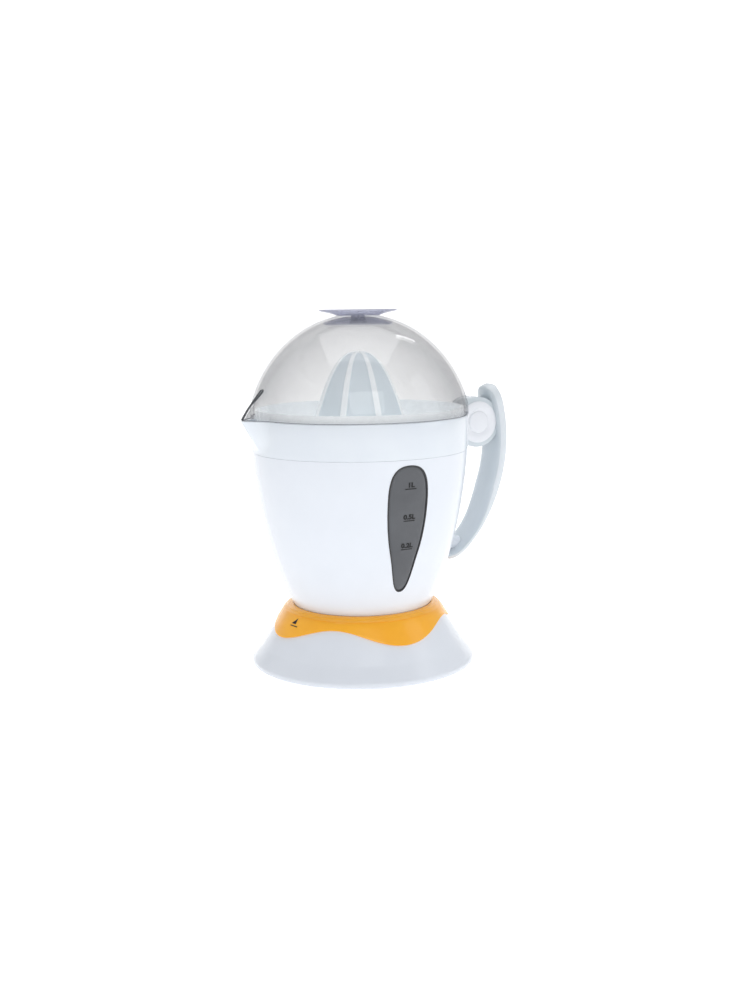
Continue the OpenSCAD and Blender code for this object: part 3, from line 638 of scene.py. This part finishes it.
def level_marks():
    """Volume marks printed on the pane: generic figures, each over a short line."""
    sizes = [("1L", 140.0), ("0.5L", 117.5), ("0.2L", 96.9)]
    middle_x, stretch, drop = WINDOW_X + 1.2, 1.15, 1.4
    bar = [(-4.3, -3.0), (4.3, -3.0), (4.3, -2.3), (-4.3, -2.3)]
    for index, (words, z0) in enumerate(sizes):
        curve = bpy.data.curves.new("mark", "FONT")
        curve.body = words
        curve.size = 4.6
        curve.align_x = "CENTER"
        curve.extrude = 0.06
        curve.offset = 0.2
        curve.resolution_u = 3
        text = bpy.data.objects.new("mark", curve)
        bpy.context.collection.objects.link(text)
        graph = bpy.context.evaluated_depsgraph_get()
        flat = bpy.data.meshes.new_from_object(text.evaluated_get(graph))
        bpy.data.objects.remove(text)
        verts = [on_jug(middle_x + v.co.x * stretch, z0 - drop + v.co.y, v.co.z - curve.extrude)
                 for v in flat.vertices]
        faces = [tuple(p.vertices) for p in flat.polygons]
        start = len(verts)
        for lift in (-0.12, 0.0):
            verts += [on_jug(middle_x + x, z0 + up, lift) for x, up in bar]
        faces += [tuple(start + k for k in (0, 1, 2, 3)), tuple(start + k for k in (4, 5, 6, 7))]
        faces += [(start + k, start + (k + 1) % 4, start + 4 + (k + 1) % 4, start + 4 + k) for k in range(4)]
        piece("level_mark_%d" % (index + 1), verts, faces, "jug", "black_plastic", look="ink")


# ---- spout ring ----
SPOUT_LOW_Z = 160.0
SPOUT_TURN_Z = 173.0
SPOUT_HALF_W = 18.3
NOSE = 2.4
BAND_PROUD = 0.15


def wedge_x(y, r, reach, half, k):
    """How far out in -X a wall of radius r with a pointed bulge reaches at the side distance y."""
    circle = math.sqrt(max(0.0, r * r - y * y))
    past = abs(y) - half
    if half < 0.5 or reach <= r or past > 3:
        return circle
    k *= 1 - max(0.0, past) / 3
    soft = math.hypot(y, NOSE) - NOSE
    soft_half = math.hypot(half, NOSE) - NOSE
    foot = math.sqrt(r * r - half * half)
    flat = reach - (reach - foot) * (soft / soft_half)
    return smooth_max(flat, circle, k)


def spout_half(z, shrink):
    """Half width of the spout at height z."""
    if z >= SPOUT_TURN_Z:
        return SPOUT_HALF_W - 0.08 * (z - SPOUT_TURN_Z) - shrink
    share = (SPOUT_TURN_Z - z) / (SPOUT_TURN_Z - SPOUT_LOW_Z)
    return SPOUT_HALF_W * math.sqrt(max(0.0, 1 - share ** 2)) - shrink


def spout_reach(z):
    """How far the spout's ridge stands from the jug's axis at height z."""
    share = max(0.0, (z - SPOUT_LOW_Z) / (MOUTH_Z - SPOUT_LOW_Z))
    return jug_r(z) + (SPOUT_REACH - MOUTH_R - BAND_PROUD) * share ** 1.12


def with_bulge(a, r, z, reach, half, k=0.25):
    """Point at angle a on a wall of radius r, pushed out in -X where the bulge is."""
    x, y = r * math.cos(a), r * math.sin(a)
    if x < 0:
        x = -wedge_x(y, r, reach, half, k)
    return (x, y, z)


def build_rim():
    """Band with the pouring spout, its spigot into the jug, the strainer's ledge and the handle's lug."""
    steps = 26
    heights = [SEAM_Z + 0.12 + (MOUTH_Z - SEAM_Z - 0.12) * i / steps for i in range(steps + 1)]
    inner_r, wall = 76.0, 2.5

    def loop(a):
        points = []
        for i, z in enumerate(heights):
            shy = {0: 0.15, steps: 0.35}.get(i, 0.0)
            points.append(with_bulge(a, jug_r(z) + BAND_PROUD - shy, z, spout_reach(z) + BAND_PROUD - shy,
                                     spout_half(z, 0)))
        low_edge, top_edge = points[0], points[-1]
        low_side = with_bulge(a, jug_r(heights[0]) + BAND_PROUD, heights[0] + 0.15, 0, 0)
        top_side = with_bulge(a, jug_r(MOUTH_Z) + BAND_PROUD, MOUTH_Z - 0.3, SPOUT_REACH,
                              spout_half(MOUTH_Z, 0))
        points = [low_edge, low_side, *points[1:-1], top_side, top_edge]
        for z in reversed(heights):
            points.append(with_bulge(a, inner_r, z, spout_reach(z) - wall - 0.4,
                                     spout_half(z - 1.5, wall), 0.4))
        return points
    piece("rim_band", *quads([loop(a) for a in fine_turn()]), "jug", "band_gloss", ["rim_ring"])
    spigot = rounded([(76.1, 157.5), (76.1, 162), (73.2, 160, 0.5), (73.2, 151, 0.3), (75.2, 151, 0.3),
                      (75.5, 157.5)])
    piece("rim_spigot", *quads(spin(turn(180), lambda a: spigot)), "jug", "band_gloss", ["rim_ring"])
    ledge = rounded([(76.05, 177.9), (72.8, 177.9, 0.3), (72.8, 175.9, 0.4), (76.05, 172.5)])
    clear = 14
    arc = [math.radians(-180 + clear + (360 - 2 * clear) * i / 160) for i in range(161)]
    verts, faces = capped(spin(arc, lambda a: ledge))
    piece("rim_ledge", verts, faces, "jug", "band_gloss", ["rim_ring"])
    build_lug()


def build_lug():
    """Tongue on the ring that the handle's drum is pinned to."""
    r, half = 9.0, 5.0
    arc = [math.radians(-90 + 180 * i / 20) for i in range(21)]
    side = [(PIVOT[0] + r * math.cos(a), PIVOT[2] + r * math.sin(a)) for a in arc]
    side += [(77.2, PIVOT[2] + r), (77.2, PIVOT[2] - r)]
    rows = [(-half, 0.94), (-half + 0.5, 1.0), (half - 0.5, 1.0), (half, 0.94)]
    loops = []
    for y, s in rows:
        loops.append([(PIVOT[0] + (x - PIVOT[0]) * (s if x > 80 else 1), y, PIVOT[2] + (z - PIVOT[2]) * s)
                      for x, z in side])
    piece("rim_lug", *capped(loops), "jug", "band_gloss", ["rim_ring"])


# ---- handle ----
STRAP_TOP = 19.5
STRAP_LOW = -53.0


def strap_thickness(a):
    """Thickness of the strap at a degrees round its arc."""
    return 8.6 - 4.4 * ease((-18 - a) / 22)


def build_strap():
    """Curved strap with rounded ends and a soft section, thinner towards its lower end."""
    extra = math.degrees(4.0 / STRAP_R)
    top, bottom = STRAP_TOP + extra, STRAP_LOW - extra * 0.5
    length = math.radians(top - bottom) * STRAP_R
    end_r, end_steps, steps = STRAP_W / 2, 14, 44
    stations = [end_r * (1 - math.cos(math.radians(90 * i / end_steps))) for i in range(end_steps + 1)]
    stations += [end_r + (length - 2 * end_r) * i / steps for i in range(1, steps)]
    stations += [length - s for s in stations[end_steps::-1]]
    loops = []
    for s in stations:
        a = top - math.degrees(s / STRAP_R)
        end = min(s, length - s)
        share = min(1.0, end / end_r)
        half_w = max(0.05, end_r * math.sqrt(max(0.0, 1 - (1 - share) ** 2)))
        rim = min(1.0, math.sqrt(max(0.0, end) / 2.2))
        t = strap_thickness(a) * (0.12 + 0.88 * rim)
        centre_r = STRAP_R - strap_thickness(a) / 2
        out = Vector((math.cos(math.radians(a)), 0, math.sin(math.radians(a))))
        centre = STRAP_CENTRE + out * centre_r
        loop = []
        for b in turn(48):
            c, d = math.cos(b), math.sin(b)
            u = math.copysign(abs(c) ** 0.42, c)
            v = math.copysign(abs(d) ** 0.62, d)
            crown = 0.5 * (1 - abs(u) ** 2)
            across = u * half_w
            through = v * t / 2 + (crown * 0.4 if v > 0 else -crown) * rim * 0.5
            through = max(-strap_thickness(a) / 2 - 0.2, min(strap_thickness(a) / 2, through))
            loop.append(tuple(centre + out * through + Vector((0, across, 0))))
        loops.append(loop)
    strap = piece("handle_strap", *capped(loops), "jug", "white_gloss", ["handle"], sharp=60,
                  look="handle_painted_shade")
    strap.data.materials.append(MATERIALS["handle_lit_side"])
    # Painted shade: the strap's inner face, towards the jug, takes the darker copy and its other faces the
    # lighter one.
    for face in strap.data.polygons:
        out = face.center / MM - STRAP_CENTRE
        out.y = 0
        face.material_index = 1 if face.normal.dot(out.normalized()) > -0.45 else 0


def clear_of_jug(x, y, z, gap=0.35):
    """x moved out, if need be, so that the point stays gap away from the jug's wall."""
    dome_gap = 0.8
    r = jug_r(min(z, JUG_TOP_Z)) + BAND_PROUD + gap
    if z > MOUTH_Z - 0.5:
        r = DOME_RIM_R + dome_gap
    if z > 182:
        r = min(r, dome_r(z, 0) + dome_gap)
    return max(x, math.sqrt(max(0.0, r * r - y * y)))


def build_drum():
    """Round knuckle between the spout ring and the strap."""
    rows = [(-DRUM_HALF, 0.8), (-DRUM_HALF + 0.25, 0.25), (-DRUM_HALF + 0.8, 0.0), (0, 0),
            (DRUM_HALF - 0.8, 0.0), (DRUM_HALF - 0.25, 0.25), (DRUM_HALF, 0.8)]
    loops = []
    for y, shy in rows:
        loop = []
        for a in turn(96):
            r = DRUM_R - shy
            x, z = PIVOT[0] + r * math.cos(a), PIVOT[2] + r * math.sin(a)
            loop.append((clear_of_jug(x, y, z), y, z))
        loops.append(loop)
    # The drum takes the darker handle copy as painted shade.
    piece("handle_drum", *capped(loops), "jug", "white_gloss", ["handle"], look="handle_painted_shade")


def build_caps():
    """Bright round caps on both ends of the handle's pin, each with a raised hub and a curl."""
    for side, name in ((-1, "handle_cap_front"), (1, "handle_cap_back")):
        face = CAP_Y
        outline = [(0.05, face - 0.15), (7.2, face - 0.15), (7.9, face - 0.3), (8.25, face - 0.75),
                   (8.6, face - 0.75), (9.2, face - 0.45), (12.5, face - 0.35), (CAP_R - 1.2, face - 0.55),
                   (CAP_R - 0.35, face - 0.85), (CAP_R, DRUM_HALF + 0.5), (CAP_R - 0.1, DRUM_HALF + 0.08),
                   (0.05, DRUM_HALF + 0.08)]
        loops = []
        for a in turn(96):
            loop = []
            for r, y in outline:
                x, z = PIVOT[0] + r * math.cos(a), PIVOT[2] + r * math.sin(a)
                loop.append((clear_of_jug(x, y, z), side * y, z))
            loops.append(loop)
        piece(name, *quads(loops), "jug", "cap_silver", ["handle_caps"], sharp=50)
        curl = []
        for i in range(25):
            t = i / 24
            a = math.radians(165 - 100 * t)
            r = 8.5 + 3.4 * t * t
            curl.append((PIVOT[0] + r * math.cos(a), side * (face - 0.5), PIVOT[2] + r * math.sin(a)))
        tube = sweep(curl, lambda t: 0.32 * math.sin(math.pi * min(1, 0.08 + t * 0.9)) + 0.04, 10)
        piece(name + "_curl", *capped(tube), "jug", "cap_silver")


def build_stub():
    """Short peg that rests the strap's lower end on the jug."""
    z0, r0 = 80.6, 4.8
    a = math.radians(-44.2)
    far = STRAP_CENTRE[0] + (STRAP_R - 6) * math.cos(a)
    loops = []
    for share, r in ((0, r0 - 0.4), (0.05, r0), (0.5, r0 - 0.1), (1, r0 + 0.2)):
        loop = []
        for b in turn(40):
            y, z = r * math.cos(b), z0 + r * math.sin(b)
            near = clear_of_jug(0, y, z)
            loop.append((near + (far - near) * share, y, z))
        loops.append(loop)
    piece("handle_stub", *capped(loops), "jug", "white_gloss", ["handle"])


# ---- reamer cone ----
def cone_r(u):
    """Radius of the cone's ribs at the share u of its height."""
    return CONE_R * (1 - u ** 0.92) ** 0.4


def rib_share(r):
    """Share of its full width that a rib keeps where the cone's radius is r."""
    return min(1.0, 0.45 + 0.55 * r / 30) * min(1.0, r / 5)


def build_cone():
    """Ribbed cone: eight rounded ribs with hollow panels between them, over a flat brim."""
    sector = 2 * math.pi / CONE_RIBS
    rib_half = 1.9
    slopes = [0.2, 0.45, 0.75, 1.1]
    hollows = [0.08, 0.35, 0.72, 1.0]
    panel = 9
    shares = [1 - (1 - i / 40) ** 2.4 for i in range(41)]
    brim = [(0.6, BRIM_Z), (BRIM_R - 0.3, BRIM_Z), (BRIM_R, BRIM_Z + 0.3), (BRIM_R, BRIM_Z + 1.0),
            (BRIM_R - 0.4, BRIM_Z + 1.4), (CONE_R + 0.6, BRIM_Z + 1.7), (CONE_R + 0.1, BRIM_Z + 2.4)]
    angles_at = []
    for u in shares:
        r = max(0.3, cone_r(min(u, 0.9995)))
        width = rib_share(r)
        rib = [s * rib_half * width for s in (-1, -0.6, 0, 0.6, 1)]
        right = [(rib_half + s) * width for s in slopes]
        marks = [(-s / r, f) for s, f in zip(right[::-1], hollows[::-1])]
        marks += [(s / r, 0.0) for s in rib]
        marks += [(s / r, f) for s, f in zip(right, hollows)]
        edge = marks[-1][0]
        for k in range(1, panel):
            t = k / panel
            marks.append((edge + (sector - 2 * edge) * t, 1.0 + 0.3 * math.sin(math.pi * t)))
        angles_at.append(marks)
    count = len(angles_at[0])
    loops = []
    for rib in range(CONE_RIBS):
        for k in range(count):
            base = rib * sector
            foot_a = base + angles_at[0][k][0]
            loop = [(r * math.cos(foot_a), r * math.sin(foot_a), z) for r, z in brim]
            for u, marks in zip(shares, angles_at):
                a, f = base + marks[k][0], marks[k][1]
                r = cone_r(min(u, 0.9995))
                depth = 1.3 * min(1.0, r / 17) * f
                tip_dip = 0.5 * f * min(1.0, max(0.0, u - 0.9) * 10)
                r = max(0.02, r - depth)
                z = CONE_FOOT_Z + (CONE_TIP_Z - CONE_FOOT_Z) * u - tip_dip
                loop.append((r * math.cos(a), r * math.sin(a), z))
            loops.append(loop)
    verts, faces = quads(loops, ring=False)
    skin = piece("reamer_skin", verts, faces, "cone", "cone_white", ["reamer_cone"], sharp=55)
    # The faces of the hollow panels take the darker copy: painted shade in the hollows between the ribs.
    skin.data.materials.append(MATERIALS["cone_panel_shade"])
    for face in skin.data.polygons:
        x, y, z = face.center / MM
        u = (z - CONE_FOOT_Z) / (CONE_TIP_Z - CONE_FOOT_Z)
        if 0.02 < u < 0.97:
            off = (math.atan2(y, x) + sector / 2) % sector - sector / 2
            r = math.hypot(x, y)
            half_w = (rib_half + slopes[1]) * rib_share(r)
            face.material_index = 1 if abs(off) * r > half_w else 0


# ---- dust cover ----
HOOD_TOP_Z = 203.6
HOOD_BLEND = 0.4


def hood_reach(z, off):
    """How far the hood's ridge over the spout stands from the axis at height z."""
    share = min(1.0, max(0.0, (z - RIM_Z) / (HOOD_TOP_Z - RIM_Z)))
    return dome_r(z, off) + (SPOUT_REACH - DOME_RIM_R) * (1 - share) ** 1.1


def hood_half(z, shrink):
    """Half width of the hood at height z."""
    share = min(1.0, max(0.0, (z - RIM_Z) / (HOOD_TOP_Z + 2 - RIM_Z)))
    return 17.8 * math.sqrt(1 - share ** 2.5) - shrink


def dome_heights(off, low_z):
    """Heights from the rim to the top, close together beside the hood and at the pole."""
    side = [low_z + (HOOD_TOP_Z + 1 - low_z) * i / 20 for i in range(21)]
    start = math.asin((side[-1] - DOME_MID_Z) / (DOME_C - off))
    last = math.acos((STEM_R + 0.1) / (DOME_A - off))
    arch = [DOME_MID_Z + (DOME_C - off) * math.sin(start + (last - start) * i / 26) for i in range(1, 27)]
    return side + arch


def build_dome():
    """Clear dome with the pointed hood over the spout; its lowest faces take a dark plastic, painted shade
    for the dark look of a cut clear edge.
    """
    outer_z = [RIM_Z] + dome_heights(0, RIM_Z + 0.5)
    inner_z = dome_heights(DOME_WALL, RIM_Z)

    def loop(a):
        outer = []
        for i, z in enumerate(outer_z):
            shy = 0.3 if i == 0 else 0.0
            outer.append(with_bulge(a, dome_r(z, 0) - shy, z, hood_reach(z, 0) - shy,
                                    hood_half(z, 0), HOOD_BLEND))
        inner = []
        for z in inner_z:
            inner.append(with_bulge(a, dome_r(z, DOME_WALL), z, hood_reach(z, DOME_WALL) - 0.6,
                                    hood_half(z + 1.2, DOME_WALL), HOOD_BLEND))
        return outer + inner[::-1]
    dome = piece("dome_shell", *quads([loop(a) for a in fine_turn()]), "cover", "clear_cover", ["dust_cover"])
    dome.visible_shadow = False
    # Painted shade: the faces at the rim's cut edge take the dark clear plastic.
    dome.data.materials.append(MATERIALS["rim_edge_shade"])
    for face in dome.data.polygons:
        face.material_index = 1 if face.center.z / MM < RIM_Z + 0.35 else 0


def build_hood_shade_bead():
    """Thick rounded edge that runs up the hood's ridge and loops round at its top, in dark smoked plastic as
    painted shade for the ridge's dark edge-on look.
    """
    split_z, top_z, half, sunk = 193.5, 202.6, 2.1, 0.25
    for side, name in ((-1, "hood_shade_bead_front"), (1, "hood_shade_bead_back")):
        path = []
        for i in range(41):
            z = RIM_Z + 0.5 + (top_z - RIM_Z - 0.5) * i / 40
            t = max(0.0, (z - split_z) / (top_z - split_z))
            y = side * (0.12 + half * math.sin(math.pi * 0.5 * t) ** 0.9 if t else 0.12)
            x = wedge_x(y, dome_r(z, 0), hood_reach(z, 0), hood_half(z, 0), HOOD_BLEND)
            path.append((-x + sunk, y, z))
        for i in range(1, 9):
            b = math.radians(90 * i / 8)
            z = top_z + 0.9 * math.sin(b)
            y = side * half * math.cos(b)
            x = wedge_x(y, dome_r(z, 0), hood_reach(z, 0), max(0.6, hood_half(z, 0)), HOOD_BLEND)
            path.append((-x + sunk, y, z))
        tube = sweep(path, lambda t: 0.78 - 0.15 * t, 10)
        # Painted shade: the clear ridge's dark line is given the smoked window plastic.
        piece(name, *capped(tube), "cover", "smoke_window")


def build_knob():
    """Wide flat knob on a flared neck, held from inside by its dished washer."""
    neck_r, neck_z, flare_h, stem_low_z = 15.5, 254.1, 3.1, 250.2
    shares = [i / 8 for i in range(1, 8)]
    flare = [(neck_r + (KNOB_R - neck_r) * u, neck_z + flare_h * u ** 0.85) for u in shares]
    seat = [(r, DOME_MID_Z + DOME_C * math.sqrt(1 - (r / DOME_A) ** 2) + 0.15)
            for r in (6 + (neck_r - 6) * i / 8 for i in range(9))]
    edge = rounded([flare[-1], (KNOB_R, KNOB_TOP_Z - 0.85, 0.4), (KNOB_R, KNOB_TOP_Z, 0.35),
                    (KNOB_R - 1.6, KNOB_TOP_Z, 0.5), (KNOB_R - 3, KNOB_TOP_Z - 0.35, 0.8),
                    (0.05, KNOB_TOP_Z - 0.6)])[1:]
    stem = [(0.05, stem_low_z), (STEM_R - 0.3, stem_low_z), (STEM_R, stem_low_z + 0.3),
            (STEM_R, seat[0][1] - 0.2)]
    outline = stem + seat + flare + edge
    verts, faces = quads(spin(turn(128), lambda a: outline))
    knob = piece("cover_grip", verts, faces, "cover", "knob_clear", ["cover_knob"])
    knob.visible_shadow = False


# ---- CAD nodes that stay ----
def finish_cad_nodes():
    """Materials for every CAD node, and broken edges for the moulded ones that can be seen."""
    slots = {row["node"]: row["material_slot"] for row in frame["record"]["subparts"]}
    for name, obj in frame["nodes"].items():
        obj.data.materials.clear()
        # The strainer takes the cone's white plastic, with its painted glow.
        look = {"strainer": "cone_white", "knob_retainer": "lens_clear"}.get(name, slots[name])
        obj.data.materials.append(MATERIALS[look])
    for name in ("strainer", "foot_ring", "bottom_cover", "drive_hub", "thrust_washer", "switch_body"):
        soft = frame["nodes"][name].modifiers.new("soft_edges", "BEVEL")
        soft.width = 0.00025
        soft.segments = 2
        soft.limit_method = "ANGLE"
        soft.angle_limit = math.radians(40)
        soft.harden_normals = True
    frame["nodes"]["knob_retainer"].visible_shadow = False


# ---- studio ----
def fade_along(tree, where, along, dark_at, bright_at, both_ways=False):
    """0 to 1 along a horizontal direction, from dark_at to bright_at metres, or the same either way."""
    dot = tree.nodes.new("ShaderNodeVectorMath")
    dot.operation = "DOT_PRODUCT"
    dot.inputs[1].default_value = along
    tree.links.new(where.outputs["Object"], dot.inputs[0])
    distance = dot.outputs["Value"]
    if both_ways:
        size = tree.nodes.new("ShaderNodeMath")
        size.operation = "ABSOLUTE"
        tree.links.new(distance, size.inputs[0])
        distance = size.outputs["Value"]
    fade = tree.nodes.new("ShaderNodeMapRange")
    fade.interpolation_type = "SMOOTHSTEP"
    fade.inputs["From Min"].default_value = dark_at
    fade.inputs["From Max"].default_value = bright_at
    tree.links.new(distance, fade.inputs["Value"])
    return fade.outputs["Result"]


def build_floor():
    """A wide plain paper floor, in metres, that curves up all round and glows softly about its middle."""
    flat, bend, top_z, sides = 2.2, 1.2, 3.4, 96
    outline = [(flat * i / 12, 0.0) for i in range(1, 13)]
    outline += [(flat + bend * math.sin(math.radians(a)), bend - bend * math.cos(math.radians(a)))
                for a in range(6, 91, 6)]
    outline.append((flat + bend, top_z))
    verts, faces = quads(spin(turn(sides), lambda a: outline), ring=False)
    faces = [f[::-1] for f in faces]
    verts.append((0, 0, 0))
    n, middle = len(outline), len(verts) - 1
    faces += [(i * n, (i + 1) % sides * n, middle) for i in range(sides)]
    mesh = bpy.data.meshes.new("studio_floor")
    mesh.from_pydata(verts, [], faces)
    for f in mesh.polygons:
        f.use_smooth = True
    floor = bpy.data.objects.new("studio_floor", mesh)
    bpy.context.collection.objects.link(floor)
    mat, tree, shader = nodes_of("studio_paper")
    where = tree.nodes.new("ShaderNodeTexCoord")
    ahead, across = (0.42, 0.91, 0), (0.91, -0.42, 0)
    both = tree.nodes.new("ShaderNodeMath")
    both.operation = "MULTIPLY"
    tree.links.new(fade_along(tree, where, ahead, -2.6, -1.6), both.inputs[0])
    tree.links.new(fade_along(tree, where, across, 2.5, 1.6, both_ways=True), both.inputs[1])
    paper = tree.nodes.new("ShaderNodeMix")
    paper.data_type = "RGBA"
    paper.inputs["A"].default_value = (0.40, 0.40, 0.41, 1)
    tree.links.new(both.outputs["Value"], paper.inputs["Factor"])
    tree.links.new(two_tone(tree, noise(tree, 3, 3), (0.93, 0.93, 0.935), (0.945, 0.945, 0.95)),
                   paper.inputs["B"])
    tree.links.new(paper.outputs["Result"], shader.inputs["Base Color"])
    shader.inputs["Roughness"].default_value = 0.9
    shader.inputs["Emission Color"].default_value = (1.0, 1.0, 1.0, 1)
    strength = tree.nodes.new("ShaderNodeMapRange")
    strength.inputs["To Min"].default_value = 0.27
    strength.inputs["To Max"].default_value = 0.50
    tree.links.new(both.outputs["Value"], strength.inputs["Value"])
    tree.links.new(strength.outputs["Result"], shader.inputs["Emission Strength"])
    mesh.materials.append(mat)


def area_light(name, place, aim, size, power, colour=(1, 1, 1)):
    """A soft rectangular light at place, turned to aim."""
    data = bpy.data.lights.new(name, "AREA")
    data.shape = "RECTANGLE"
    data.size, data.size_y = size
    data.energy = power
    data.color = colour
    obj = bpy.data.objects.new(name, data)
    obj.location = place
    obj.rotation_mode = "QUATERNION"
    obj.rotation_quaternion = (Vector(aim) - Vector(place)).to_track_quat("-Z", "Y")
    bpy.context.collection.objects.link(obj)


def build_lights():
    """A soft light in front, a weak one from the right, a wide one above and a narrow streak behind."""
    middle = (0, 0, 0.13)
    area_light("key_front", (-0.40, -1.45, 0.95), middle, (1.0, 1.0), 3.7)
    area_light("fill_right", (1.2, -0.8, 0.7), middle, (0.5, 1.2), 1.3, (0.96, 0.98, 1.0))
    area_light("top", (0.1, 0.2, 1.6), middle, (1.4, 1.4), 9.6)
    area_light("streak", (1.0, 0.52, 1.33), middle, (0.07, 0.40), 0.7)
    world = bpy.data.worlds.new("studio")
    world.use_nodes = True
    back = world.node_tree.nodes["Background"]
    back.inputs["Color"].default_value = (0.93, 0.95, 0.98, 1)
    back.inputs["Strength"].default_value = 0.38
    bpy.context.scene.world = world
    bpy.context.scene.view_settings.view_transform = "Standard"


def build_camera():
    """The camera fitted to the outlines of the base, the rim and the dome."""
    data = bpy.data.cameras.new("camera")
    data.lens = 44.135
    cam = bpy.data.objects.new("camera", data)
    cam.location = (-0.3672, -0.8120, 0.2607)
    azimuth, pitch, roll = math.radians(-25), math.radians(9.009), math.radians(0.807)
    ahead = Vector((-math.sin(azimuth) * math.cos(pitch), math.cos(azimuth) * math.cos(pitch),
                    -math.sin(pitch)))
    cam.rotation_mode = "QUATERNION"
    cam.rotation_quaternion = ahead.to_track_quat("-Z", "Y") @ Quaternion((0, 0, 1), -roll)
    bpy.context.collection.objects.link(cam)
    bpy.context.scene.camera = cam


finish_cad_nodes()
build_base()
build_collar()
collar_mark()
build_jug()
build_window()
level_marks()
build_rim()
build_strap()
build_drum()
build_caps()
build_stub()
build_cone()
build_dome()
build_hood_shade_bead()
build_knob()
build_floor()
build_lights()
build_camera()
